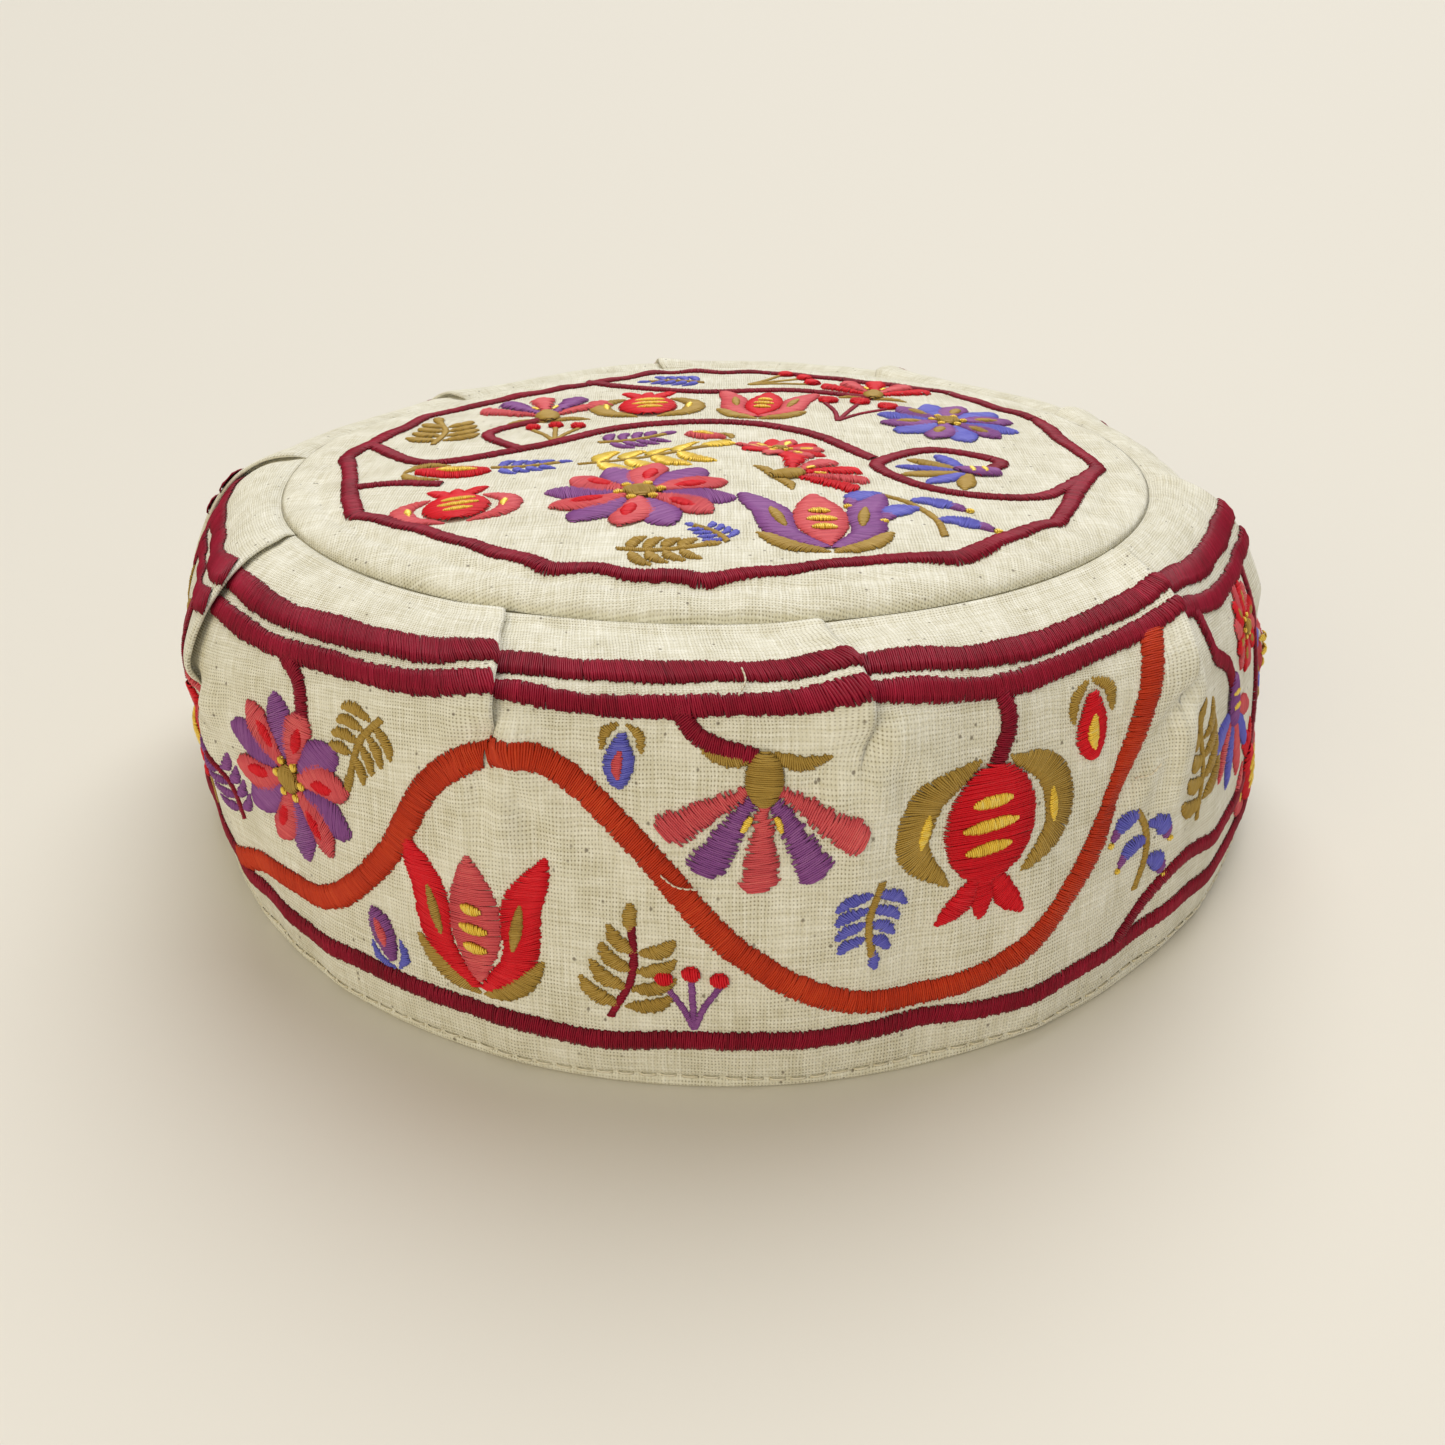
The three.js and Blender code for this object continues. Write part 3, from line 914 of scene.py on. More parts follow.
def addStitches(cloth, thread, start, end, width, arch, shade, raised=0):
    # Notes strands from start to end, on the flat cloth in millimetres; they are laid at the end
    count = len(start)
    row = [np.asarray(start, float), np.asarray(end, float)]
    row += [np.broadcast_to(value, count).astype(float) for value in (width, arch, shade, raised)]
    stitches.setdefault((cloth, thread), []).append(row)


def curve(points, steps=12):
    # A smooth line through a few points, with that many steps from one to the next
    points = np.asarray(points, float)
    if len(points) == 2:
        return points[0] + np.linspace(0, 1, steps)[:, None] * (points[1] - points[0])
    ends = np.concatenate([[2 * points[0] - points[1]], points, [2 * points[-1] - points[-2]]])
    share = np.linspace(0, 1, steps, endpoint=False)[:, None]
    line = []
    for a, b, c, d in zip(ends, ends[1:], ends[2:], ends[3:]):
        line.append(0.5 * (2 * b + (c - a) * share + (2 * a - 5 * b + 4 * c - d) * share ** 2
                           + (3 * b - a - 3 * c + d) * share ** 3))
    return np.concatenate(line + [points[-1:]])


def evenly(line, spacing):
    # Places for strands along a line, the way it runs there, and each place's share of the line
    lengths = np.concatenate([[0], np.cumsum(stepLengths(line))])
    count = max(2, int(round(lengths[-1] / spacing)))
    share = (np.arange(count) + 0.5) / count
    at = share * lengths[-1]
    points = np.stack([np.interp(at, lengths, line[:, axis]) for axis in range(2)], axis=1)
    return points, unit(np.gradient(points, axis=0)), share


def satin(cloth, thread, line, width, slant=8, arch=0.42, ragged=0.2, raised=0):
    # Strands laid side by side across a line; width is a number or a function of the way along
    v = strandValues
    points, tangent, share = evenly(np.asarray(line, float), v["spacing"])
    half = (width(share) if callable(width) else np.full(len(share), width)) / 2
    wide = half > v["leastHalf"]
    points, tangent, share, half = points[wide], tangent[wide], share[wide], half[wide]
    if not len(points):
        return
    loose = np.minimum(v["turnScatter"], v["looseTurn"] / half)  # long strands lie straighter
    turn = np.radians(90 + slant + rng.normal(0, 1, len(points)) * loose)
    side = np.stack([tangent[:, 0] * np.cos(turn) - tangent[:, 1] * np.sin(turn),
                     tangent[:, 0] * np.sin(turn) + tangent[:, 1] * np.cos(turn)], axis=1)
    give = rng.uniform(-ragged, ragged, (len(points), 2))
    start = points - side * (half + give[:, 0])[:, None]
    end = points + side * (half + give[:, 1])[:, None]
    slow = v["slowShade"] * np.sin(share * len(points) * v["slowTurn"] + rng.uniform(*v["slowPhase"]))
    shade = np.clip(0.5 + slow + rng.normal(0, v["shadeScatter"], len(points)), 0, 1)
    scatter = rng.uniform(-v["archScatter"], v["archScatter"], len(points))
    height = arch * smooth(0, v["fullArch"], half) + scatter
    addStitches(cloth, thread, start, end, v["width"], height, shade, raised)


# Outlines of satin shapes: width as a share of the widest, along the way


def leafShape(width):
    return lambda share: width * np.sin(np.pi * share) ** 0.8


def petalShape(width):
    return lambda share: width * np.sin(np.pi * (0.06 + 0.94 * share ** 1.35)) ** 0.7


def roundShape(width):
    return lambda share: width * np.sqrt(np.clip(1 - (2 * share - 1) ** 2, 0, 1))


def fanShape(width):
    return lambda share: width * (0.22 + 0.78 * share) * (1 - smooth(0.9, 1.0, share) * 0.5)


def spot(cloth, x, y, turn, size):
    # Where a flower is sewn: its origin on the flat cloth, its turn and its height
    return {"cloth": cloth, "x": x, "y": y, "turn": math.radians(turn), "size": size}


def placed(at, points):
    points = np.asarray(points, float) * at["size"]
    c, s = math.cos(at["turn"]), math.sin(at["turn"])
    return np.stack([at["x"] + points[:, 0] * c - points[:, 1] * s,
                     at["y"] + points[:, 0] * s + points[:, 1] * c], axis=1)


def turned(points, angle):
    c, s = math.cos(angle), math.sin(angle)
    return [(x * c - y * s, x * s + y * c) for x, y in points]


def shape(at, thread, points, outline, width, slant=14, arch=0.34, ragged=0.2, raised=0):
    # The last numbers: the strands' slant in degrees, their arch, how ragged they end, how far raised
    line = placed(at, curve(points))
    satin(at["cloth"], thread, line, outline(width * at["size"]), slant, arch, ragged, raised)


def stem(at, thread, points, width):
    satin(at["cloth"], thread, placed(at, curve(points)), width, 20, 0.4, 0.1)


def knot(at, thread, x, y, radius, raised=0):
    # A small round dot, laid over twice
    for turn in (0, 1):
        reach = [(x - radius * turn, y - radius * (1 - turn)), (x + radius * turn, y + radius * (1 - turn))]
        satin(at["cloth"], thread, placed(at, curve(reach, 6)), roundShape(2 * radius * at["size"]),
              5, 0.5, 0.06, raised + 0.2 * turn)


def bar(at, thread, x, y, length, width, tilt=0, raised=0.55):
    c, s = math.cos(math.radians(tilt)) * length / 2, math.sin(math.radians(tilt)) * length / 2
    satin(at["cloth"], thread, placed(at, curve([(x - c, y - s), (x + c, y + s)], 6)),
          roundShape(width * at["size"]), 8, 0.45, 0.08, raised)


# Flowers and leaves. Each grows up its own y from its origin, and size is its height.


def rosette(at, outer, inner, heart):
    count, lean = 6, 0.2
    for place in range(count):  # the long petals lie under and between the short ones
        angle = 2 * math.pi * (place + 0.5) / count + lean
        petal = turned([(0.12, 0), (0.34, 0), (0.5, 0)], angle)
        shape(at, outer, petal, petalShape, 1.5 / count, 20)
    for place in range(count):
        angle = 2 * math.pi * place / count + lean
        petal = turned([(0.08, 0), (0.3, 0.03), (0.48, 0)], angle)
        shape(at, inner, petal, petalShape, 1.45 / count, 24, raised=0.14)
        shape(at, heart, turned([(0.18, 0), (0.38, 0)], angle), leafShape, 0.09, 20, 0.3, 0.1, 0.42)
    knot(at, "ochre", 0, 0, 0.085, 0.3)
    for place in range(count):
        knot(at, "gilt", *turned([(0.11, 0)], 2 * math.pi * place / count)[0], 0.025, 0.4)


def tulip(at, outer, inner, calyx):
    for side in (-1, 1):
        line = [(0.03 * side, 0.05), (0.25 * side, 0.3), (0.29 * side, 0.66), (0.44 * side, 0.98)]
        shape(at, outer, line, petalShape, 0.28, 26 * side)
        shape(at, "ochre", [(0.22 * side, 0.34), (0.29 * side, 0.7)], leafShape, 0.08, 20, 0.3, 0.1, 0.4)
    shape(at, inner, [(0, 0.08), (0, 0.5), (0, 0.95)], leafShape, 0.36, 8)
    for place, length in ((0.34, 0.15), (0.47, 0.18), (0.6, 0.13)):
        bar(at, "gilt", 0, place, length, 0.075, 0, 0.5)
    for side in (-1, 1):
        shape(at, calyx, [(0, 0), (0.22 * side, 0.1), (0.4 * side, 0.32)], leafShape, 0.15, 20 * side)


def pomegranate(at, body, rind):
    for side in (-1, 1):
        shape(at, rind, [(0.08 * side, 0.02), (0.4 * side, 0.18), (0.46 * side, 0.5), (0.22 * side, 0.76)],
              leafShape, 0.24, 16 * side)
        shape(at, "gilt", [(0.4 * side, 0.26), (0.43 * side, 0.5)], leafShape, 0.07, 12, 0.3, 0.1, 0.35)
    for side in (-1, 0, 1):
        line = [(0.05 * side, 0.68), (0.13 * side, 0.86), (0.28 * side, 1.02)]
        shape(at, body, line, leafShape, 0.16, 12)
    shape(at, body, [(0, 0.05), (0, 0.4), (0, 0.76)], roundShape, 0.62, 0, 0.75)
    for place, length in ((0.26, 0.26), (0.4, 0.36), (0.54, 0.3)):
        bar(at, "gilt", 0.02, place, length, 0.085, 4, 0.8)


def carnation(at, outer, inner, calyx):
    for place, angle in enumerate((-58, -30, 0, 30, 58)):
        c, s = math.cos(math.radians(90 - angle)), math.sin(math.radians(90 - angle))
        line = [(0.1 * c, 0.22 + 0.1 * s), (0.4 * c, 0.22 + 0.4 * s), (0.74 * c, 0.22 + 0.76 * s)]
        shape(at, inner if place % 2 else outer, line, fanShape, 0.29, 10, 0.5, 0.45)
    shape(at, calyx, [(0, 0), (0, 0.2), (0, 0.38)], roundShape, 0.26, 0, 0.6, 0.1, 0.2)
    for side in (-1, 1):
        shape(at, calyx, [(0, 0.02), (0.22 * side, 0.08), (0.42 * side, 0.02)], leafShape, 0.12, 14)
        bar(at, "gilt", 0.1 * side, 0.5, 0.15, 0.05, 90 - 24 * side, 0.5)


def bluebells(at, bell, mouth, stalk):
    stem(at, stalk, [(0, 0), (0.06, 0.34), (-0.02, 0.7), (-0.2, 0.92)], 1.3)
    for x, y, side in ((0.06, 0.3, 1), (0.02, 0.56, -1), (0.02, 0.72, 1), (-0.14, 0.88, -1)):
        c = 0.28 * side
        shape(at, bell, [(x, y), (x + 0.55 * c, y - 0.02), (x + 1.05 * c, y - 0.16)], petalShape, 0.22, 10)
        shape(at, mouth, [(x + 0.92 * c, y - 0.06), (x + 1.15 * c, y - 0.24)], leafShape, 0.13, 10)
        knot(at, "gilt", x + 1.25 * c, y - 0.25, 0.03)


def leafSpray(at, leaf, stalk):
    count = 4
    stem(at, stalk, [(0, 0), (0.1, 0.45), (0.02, 0.9)], 1.2)
    for place in range(count):
        y = 0.12 + 0.7 * place / count
        for side in (-1, 1):
            x = 0.06 + 0.05 * math.sin(3 * y)
            long = 0.38 * (1 - 0.4 * place / count)
            shape(at, leaf, [(x, y), (x + 0.6 * long * side, y + 0.07), (x + long * side, y + 0.22)],
                  leafShape, 0.15, 18 * side)
    shape(at, leaf, [(0.02, 0.82), (0.0, 0.95), (-0.03, 1.1)], leafShape, 0.13, 12)


def bud(at, petal, heart, sepal):
    shape(at, petal, [(0, 0.14), (0.03, 0.5), (0, 0.92)], petalShape, 0.44, 12, 0.6)
    shape(at, heart, [(0, 0.34), (0.04, 0.56), (0.02, 0.8)], leafShape, 0.16, 12, 0.4, 0.1, 0.6)
    for side in (-1, 1):
        shape(at, sepal, [(0, 0), (0.22 * side, 0.16), (0.25 * side, 0.46)], leafShape, 0.14, 14 * side)


def berrySprig(at, berry, stalk):
    count = 3
    for place in range(count):
        lean = -0.36 + 0.72 * place / (count - 1)
        tall = 0.95 - 0.25 * abs(lean)
        stem(at, stalk, [(0, 0), (0.4 * lean, 0.45 * tall), (lean, 0.86 * tall)], 1.0)
        knot(at, berry, lean, tall, 0.12)


def cornflower(at, petal, inner, calyx):
    for place, angle in enumerate((-75, -45, -15, 15, 45, 75)):
        c, s = math.cos(math.radians(90 - angle)), math.sin(math.radians(90 - angle))
        shape(at, petal if place % 2 else inner,
              [(0.05 * c, 0.3 + 0.05 * s), (0.34 * c, 0.3 + 0.36 * s), (0.62 * c, 0.3 + 0.7 * s)],
              petalShape, 0.2, 16)
    shape(at, calyx, [(0, 0), (0, 0.2), (0, 0.42)], roundShape, 0.32, 30, 0.65, 0.1, 0.15)
    bar(at, "gilt", 0, 0.14, 0.16, 0.06, 0, 0.75)
    bar(at, "gilt", 0, 0.26, 0.18, 0.06, 0, 0.75)


# Lines that follow the cut of the band

borderValues = {
    "upper": 13.9, "upperWidth": 4.5, "lower": 18.95, "lowerWidth": 3.3, "wander": 0.3, "lowerWander": -0.6,
    "points": 80, "panelShare": (0.004, 0.999), "ripple": (0.25, 0.21), "swell": (0.07, 0.33),
    "hem": 9.0, "hemWidth": 3.4, "hemPoints": 400, "hemRipples": ((0.45, 0.111, 0), (0.27, 0.257, 1)),
}
frameValues = {
    "inset": 8.0, "width": 3.0, "corners": 13, "turnScatter": 0.25, "insetScatter": (-0.8, 1.4),
    "points": 12, "ripple": (0.3, 0.55), "swell": (0.1, 60),
}
topstitch = {"length": 2.3, "pitch": 2.9, "width": 0.6, "arch": 0.2, "scatter": (0.12, 0.08, 0.05)}


def borderLines():
    # Two lines round the shoulder that step at each pleat, and one above the hem
    v = borderValues
    share = np.linspace(0, 1, v["points"])
    (ripple, rippleTurn), (swell, swellTurn) = v["ripple"], v["swell"]
    for place in range(pleatCount):
        start = pleats["angle"][place]
        span = (pleats["angle"][(place + 1) % pleatCount] - start) % 360
        x = (start + span * np.linspace(*v["panelShare"], v["points"])) / 360 * hemLength
        part = np.sin(np.pi * share) * v["wander"] * (-1) ** place
        for inset, width, sign in ((v["upper"], v["upperWidth"], 1),
                                   (v["lower"], v["lowerWidth"], v["lowerWander"])):
            y = bandHeight(x) - inset + sign * part + ripple * np.sin(x * rippleTurn + place)
            widths = width * (1 + swell * np.sin(x * swellTurn + 2 * place))
            satin("border", "maroon", np.stack([x, y], axis=1),
                  lambda along, widths=widths: np.interp(along, share, widths), slant=6, arch=0.5)
    x = np.linspace(0, hemLength, v["hemPoints"])
    y = v["hem"] + sum(reach * np.sin(x * turn + phase) for reach, turn, phase in v["hemRipples"])
    satin("border", "maroon", np.stack([x, y], axis=1), v["hemWidth"], slant=-6, arch=0.45)


def frameLine():
    # A line round the crown, straight from corner to corner, as a hand would draw it
    v = frameValues
    count = v["corners"]
    turn = np.arange(count) + rng.uniform(-v["turnScatter"], v["turnScatter"], count)
    angle = turn * 2 * math.pi / count
    radius = crownRadius(angle) - v["inset"] - rng.uniform(*v["insetScatter"], count)
    corners = np.stack([radius * np.sin(angle), -radius * np.cos(angle)], axis=1)
    corners = np.concatenate([corners, corners[:1]])
    share = np.linspace(0, 1, v["points"], endpoint=False)[:, None]
    line = np.concatenate([mixed(first, second, share) for first, second in zip(corners, corners[1:])])
    ripple, rippleTurn = v["ripple"]
    line += ripple * np.sin(np.arange(len(line)) * rippleTurn)[:, None] * unit(line)
    line = np.roll(line, v["points"] // 2, axis=0)  # it closes halfway along a straight
    line = np.concatenate([line, line[:1]])
    swell, swellTurn = v["swell"]
    satin("crown", "maroon", line, lambda along: v["width"] * (1 + swell * np.sin(swellTurn * along)),
          slant=6)


def hemStitches():
    # A row of plain running stitches holds the turned-in hem
    count = int(hemLength / topstitch["pitch"])
    aside, startUp, endUp = (rng.uniform(-reach, reach, count) for reach in topstitch["scatter"])
    x = np.arange(count) * hemLength / count + aside
    y = hemValues["stitchHeight"] + startUp
    start = np.stack([x, y], axis=1)
    end = np.stack([x + topstitch["length"], y + endUp], axis=1)
    shade = rng.uniform(0.5, 1, count)
    addStitches("border", "cream", start, end, topstitch["width"], topstitch["arch"], shade)


# Layout: an own design of old folk motifs. x runs along the hem from the front, in millimetres,
# and share runs from the hem line, 0, to the double border, 1.

roomValues = {"low": 11.2, "top": 20.8, "full": 41, "shrink": 0.6}


def bandRoom(x):
    return bandHeight(x)[0] - roomValues["top"] - roomValues["low"]


def bandPlace(x, share):
    return x, roomValues["low"] + share * bandRoom(x)


def bandSpot(x, share, turn, size):
    # Where the band is lower, its flowers are a little smaller
    fit = min(1, (bandRoom(x) / roomValues["full"]) ** roomValues["shrink"])
    return spot("band", *bandPlace(x, share), turn, size * fit)


# Each vine: its thread and width, and the points that it winds through

bandVines = [
    ("orange", 4.1, [(-87, -0.01), (-76, 0.1), (-60, 0.16), (-48, 0.42), (-38, 0.76), (-25, 0.86),
                     (-11, 0.62), (2, 0.28), (18, 0.07), (38, 0.1), (52, 0.36), (60, 0.72), (64, 1.02)]),
    ("maroon", 2.6, [(-6, 1.04), (-3, 0.95), (4, 0.89)]),
    ("maroon", 2.6, [(37, 1.03), (38, 0.93), (36, 0.8)]),
    ("maroon", 2.6, [(-67, 1.03), (-63, 0.96), (-62.5, 0.83)]),
    ("maroon", 2.7, [(-99, 1.03), (-104, 0.84), (-113, 0.7), (-116, 0.58)]),
    ("maroon", 2.6, [(-99, 1.03), (-96, 0.86), (-94, 0.72)]),
    ("maroon", 2.7, [(80, 1.03), (85, 0.86), (93, 0.76), (95, 0.64)]),
    ("maroon", 2.7, [(60, -0.03), (72, 0.14), (88, 0.1), (102, 0.16), (112, 0.46), (117, 1.03)]),
    ("maroon", 2.7, [(-152, -0.03), (-142, 0.3), (-138, 0.66), (-128, 1.03)]),
    ("maroon", 2.7, [(132, 1.05), (140, 0.5), (158, 0.14), (176, 0.34), (188, 0.78), (204, 0.76),
                     (220, 0.3), (238, 0.12), (252, 0.46), (262, 0.82), (278, 0.78), (292, 0.35),
                     (308, 0.12), (326, 0.4), (338, 0.8), (354, 0.8), (366, 0.4), (380, 0.12),
                     (396, 0.3), (406, 1.05)]),
]


strayEnds = [(2, 60, 75, 4.5), (-8, 36, -20, 5), (61, 37, 20, 4), (-108, 34, 60, 4), (150, 20, 10, 5),
             (262, 36, 80, 5)]
strayValues = {"bend": 18, "points": 3, "width": 0.3, "arch": 0.3, "shade": 0.9, "raised": 0.75}


def strayThreads():
    # A few cut ends of sewing cotton are left on the cloth: place, turn and length
    v = strayValues
    for x, y, turn, length in strayEnds:
        middle, tip = (np.array([math.cos(math.radians(way)), math.sin(math.radians(way))]) * length
                       for way in (turn - v["bend"], turn))
        end = curve([(x, y), (x, y) + 0.5 * middle, (x, y) + tip], v["points"])
        shade = np.full(len(end) - 1, v["shade"])
        addStitches("border", "cream", end[:-1], end[1:], v["width"], v["arch"], shade, v["raised"])


# Each row: the kind of flower, x, share of the height, turn, size and threads

bandFlowers = [
    (rosette, -66, 0.58, 0, 26, "violet coral scarlet"),
    (tulip, -33, 0.02, 2, 24, "scarlet coral ochre"),
    (leafSpray, -15, 0.03, -10, 17, "ochre maroon"),
    (berrySprig, -4, 0.0, 2, 10, "scarlet violet"),
    (carnation, 5, 0.91, 178, 20, "coral violet ochre"),
    (leafSpray, 20, 0.48, 176, 13, "periwinkle ochre"),
    (bud, -47, 0.0, 22, 11, "violet coral periwinkle"),
    (pomegranate, 36, 0.84, 176, 24, "scarlet ochre"),
    (bud, 52, 0.98, 184, 13, "scarlet gilt ochre"),
    (bluebells, 63, 0.14, -6, 15, "periwinkle violet ochre"),
    (leafSpray, 78, 0.26, 6, 20, "ochre ochre"),
    (cornflower, 95, 0.7, 176, 19, "periwinkle coral violet"),
    (rosette, 106, 0.83, 0, 16, "coral scarlet ochre"),
    (pomegranate, 106, -0.02, 10, 15, "scarlet coral"),
    (tulip, 127, 0.22, 4, 20, "periwinkle coral ochre"),
    (cornflower, -116, 0.66, 172, 21, "periwinkle violet ochre"),
    (bud, -93, 0.78, 184, 19, "scarlet gilt coral"),
    (berrySprig, -103, -0.04, 8, 11, "scarlet ochre"),
    (leafSpray, -128, 0.34, 6, 20, "ochre ochre"),
    (berrySprig, -131, -0.04, 4, 12, "scarlet ochre"),
    (leafSpray, -81, 0.24, 24, 13, "violet maroon"),
    (leafSpray, -47, 0.92, 150, 14, "ochre ochre"),
    (bud, -13, 0.99, 178, 10, "periwinkle coral ochre"),
    (bluebells, 143, 0.94, 188, 17, "periwinkle violet ochre"),
    (rosette, 160, 0.58, 0, 22, "scarlet coral ochre"),
    (berrySprig, 171, -0.02, -14, 13, "scarlet ochre"),
    (tulip, 187, 0.02, 6, 21, "coral scarlet ochre"),
    (bud, 205, 0.0, 0, 17, "scarlet gilt ochre"),
    (berrySprig, 203, 0.96, 170, 11, "scarlet ochre"),
    (carnation, 221, 0.5, 4, 20, "coral violet ochre"),
    (leafSpray, 240, 0.5, 0, 18, "ochre ochre"),
    (berrySprig, 250, -0.02, -8, 11, "scarlet ochre"),
    (pomegranate, 264, 0.02, 8, 21, "scarlet ochre"),
    (cornflower, 281, 0.0, -14, 17, "periwinkle ochre violet"),
    (rosette, 297, 0.68, 0, 18, "scarlet coral ochre"),
    (bluebells, 313, 0.46, 6, 17, "periwinkle violet ochre"),
    (leafSpray, 328, -0.02, 0, 17, "ochre maroon"),
    (cornflower, 344, 0.04, 6, 21, "periwinkle coral violet"),
    (berrySprig, 350, 0.98, 174, 11, "scarlet ochre"),
    (bud, 359, 0.0, -10, 15, "violet coral periwinkle"),
    (tulip, 370, 0.5, 0, 18, "coral scarlet ochre"),
    (carnation, 392, 0.42, 8, 18, "scarlet coral ochre"),
    (leafSpray, 405, 0.0, 0, 15, "ochre ochre"),
]


def sewFlowers(rows, findSpot):
    # Each flower's threads are given in the order that its function names them
    for kind, *place, names in rows:
        kind(findSpot(*place), *names.split())


def makeBandDesign():
    borderLines()
    hemStitches()
    for thread, width, points in bandVines:
        satin("band", thread, curve([bandPlace(*point) for point in points], 20), width, arch=0.45)
    sewFlowers(bandFlowers, bandSpot)
    strayThreads()


# The crown, with x to the right and y to the back from its own middle

crownVines = [
    (2.8, [(54, -12), (45, -23), (31, -22), (24, -10), (33, 0), (43, -5), (38, -13)]),
    (2.8, [(-54, 6), (-43, -5), (-28, 2), (-14, 13), (2, 15), (15, 8), (24, -6)]),
    (2.6, [(27, 32), (14, 37), (-2, 36), (-16, 41), (-23, 46)]),
    (2.4, [(-30, 1), (-36, 10), (-28, 19)]),
    (2.4, [(-52, -16), (-46, -15), (-39, -17)]),
]


def crownSpot(x, y, turn, size):
    scale = crownValues["designScale"]
    return spot("crown", x * scale, y * scale, turn, size * crownValues["flowerScale"])


crownFlowers = [
    (rosette, -10, -28, 10, 24, "violet coral scarlet"),
    (tulip, 15, -49, 4, 20, "violet coral ochre"),
    (pomegranate, -34, -36, 8, 14, "scarlet coral"),
    (bluebells, 30, -42, 14, 17, "periwinkle violet ochre"),
    (leafSpray, -12, -48, -84, 11, "ochre ochre"),
    (cornflower, 42, -11, 96, 14, "periwinkle ochre violet"),
    (leafSpray, -20, -10, -76, 20, "gilt ochre"),
    (rosette, 10, -3, 0, 13, "scarlet coral gilt"),
    (bud, 3, 5, 70, 8, "coral gilt ochre"),
    (carnation, 8, -21, -64, 13, "scarlet coral ochre"),
    (leafSpray, 2, -46, 40, 7, "periwinkle ochre"),
    (bud, -46, -10, -94, 13, "scarlet gilt ochre"),
    (leafSpray, -33, -9, -82, 10, "periwinkle ochre"),
    (leafSpray, -18, 4, -66, 11, "violet ochre"),
    (rosette, 38, 17, 0, 21, "periwinkle violet ochre"),
    (tulip, 7, 17, -8, 17, "coral scarlet ochre"),
    (carnation, -27, 17, 10, 15, "coral violet ochre"),
    (pomegranate, -11, 19, 2, 15, "scarlet ochre"),
    (berrySprig, 20, 16, -20, 13, "scarlet maroon"),
    (berrySprig, -25, 5, 4, 9, "scarlet ochre"),
    (leafSpray, -44, 5, 6, 14, "ochre ochre"),
    (carnation, 27, 31, -8, 13, "scarlet coral ochre"),
    (leafSpray, -2, 44, 84, 10, "periwinkle ochre"),
    (berrySprig, 6, 42, -60, 11, "scarlet ochre"),
]


def makeCrownDesign():
    frameLine()
    for width, points in crownVines:
        line = curve(points, 20) * crownValues["designScale"]
        satin("crown", "maroon", line, width)
    sewFlowers(crownFlowers, crownSpot)


makeBandDesign()
makeCrownDesign()
print("stitches laid out", sum(len(row[0]) for rows in stitches.values() for row in rows))


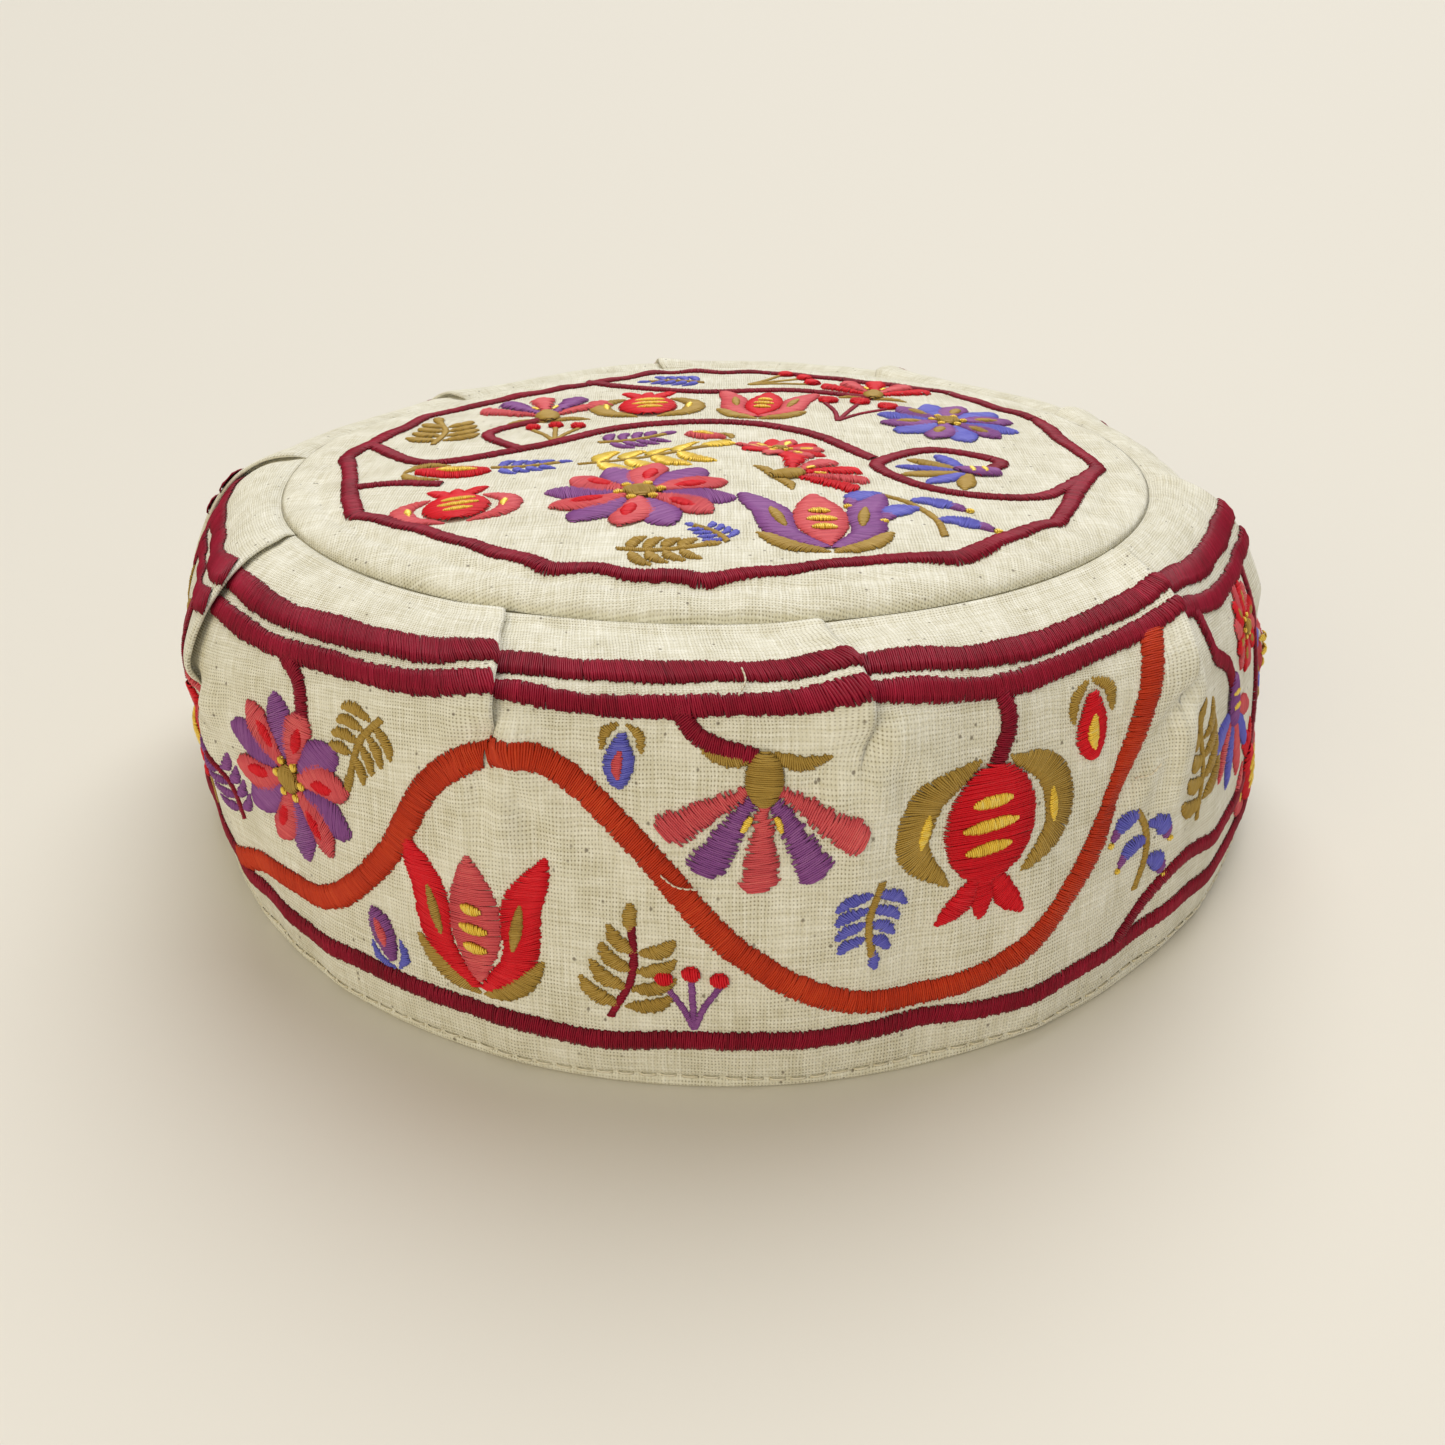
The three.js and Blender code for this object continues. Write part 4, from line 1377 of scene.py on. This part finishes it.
def layStitches(cloth, thread, rows, ground):
    v = strandValues
    start, end, width, arch, shade, raised = (np.concatenate([row[place] for row in rows])
                                              for place in range(6))
    way = end - start
    side = unit(np.stack([way[:, 1], -way[:, 0]], axis=1))
    across, along, up = strandPoints.T
    flat = (start[:, None] + way[:, None] * along[None, :, None]
            + side[:, None] * (across[None, :] * width[:, None])[..., None])
    crest = np.clip(1 - np.abs(2 * along - 1) ** 3, 0, 1) ** 0.5  # steep at the ends and flat between
    rest = v["thickness"] * (v["sunk"] + up)
    lift = arch[:, None] * crest[None] + rest[None] - v["dive"] * (1 - crest[None]) ** 2
    lift += raised[:, None]
    home = (start[:, 0] + end[:, 0]) / 2
    place, normal = ground(flat, home)
    points = (place + normal * lift[..., None]).reshape(-1, 3) + shift
    size = len(strandPoints)
    faces = []
    for number in range(len(start)):
        base = number * size
        faces += [tuple(base + corner for corner in face) for face in strandFaces]
    piece = makeMesh(thread + "Stitches" + cloth.capitalize(), points, faces, threads[thread])
    sides = (v["plyStep"] * np.arange(len(start))[:, None] + across[None]).ravel()
    # Painted shade: each strand is darker towards its ends, where it dives into the cloth
    paintedShades = np.tile(mixed(v["paintedEndShade"], 1, crest), len(start))
    for name, values in (("strandShade", np.repeat(shade, size)), ("strandSide", sides),
                         ("strandPaintedShade", paintedShades)):
        layer = piece.data.attributes.new(name, "FLOAT", "POINT")
        layer.data.foreach_set("value", values.astype(np.float32))
    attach(piece, "root")
    return piece


threadPieces = {"band": [], "border": [], "crown": []}
for (cloth, thread), rows in sorted(stitches.items()):
    threadPieces[cloth].append(layStitches(cloth, thread, rows, onCrown if cloth == "crown" else onBand))
for pieces in threadPieces.values():
    for piece in pieces:
        print(piece.name, sum(len(polygon.vertices) - 2 for polygon in piece.data.polygons), "triangles")
print("stitches sewn")

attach(bandCloth, "root")
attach(crownCloth, "root")
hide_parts("band")
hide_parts("crown")


# Studio: a plain pale floor and soft light

studio = {
    "floor": "#dedad1", "floorSize": 60, "floorRoughness": 0.6, "world": "#f6f3ee", "worldStrength": 0.47,
    "key": {"power": 1.96, "softness": 50, "height": 58, "side": 165, "tint": "#ffffff"},
    "fill": {"power": 0.88, "softness": 40, "height": 34, "side": -32, "tint": "#fff0c4"},
}


def makeFloor():
    material, _, shader = newMaterial("painted studio floor")
    shader.inputs["Base Color"].default_value = colour(studio["floor"])
    shader.inputs["Roughness"].default_value = studio["floorRoughness"]
    bpy.ops.object.select_all(action="DESELECT")
    bpy.ops.mesh.primitive_plane_add(size=studio["floorSize"])
    floor = bpy.context.object
    floor.name = "floor"
    floor.data.materials.append(material)


def makeLight(name, values):
    # A wide, far light; its side is counted from the front towards +X, in degrees
    data = bpy.data.lights.new(name, "SUN")
    data.energy = values["power"]
    data.color = colour(values["tint"])[:3]
    data.angle = math.radians(values["softness"])
    light = bpy.data.objects.new(name, data)
    bpy.context.collection.objects.link(light)
    light.rotation_euler = (math.radians(90 - values["height"]), 0, math.radians(values["side"]))


def makeWorld():
    world = bpy.data.worlds.new("studio")
    world.use_nodes = True
    background = world.node_tree.nodes["Background"]
    background.inputs[0].default_value = colour(studio["world"])
    background.inputs[1].default_value = studio["worldStrength"]
    bpy.context.scene.world = world
    bpy.context.scene.view_settings.view_transform = "Standard"


makeFloor()
makeLight("key", studio["key"])
makeLight("fill", studio["fill"])
makeWorld()
print("studio lit")
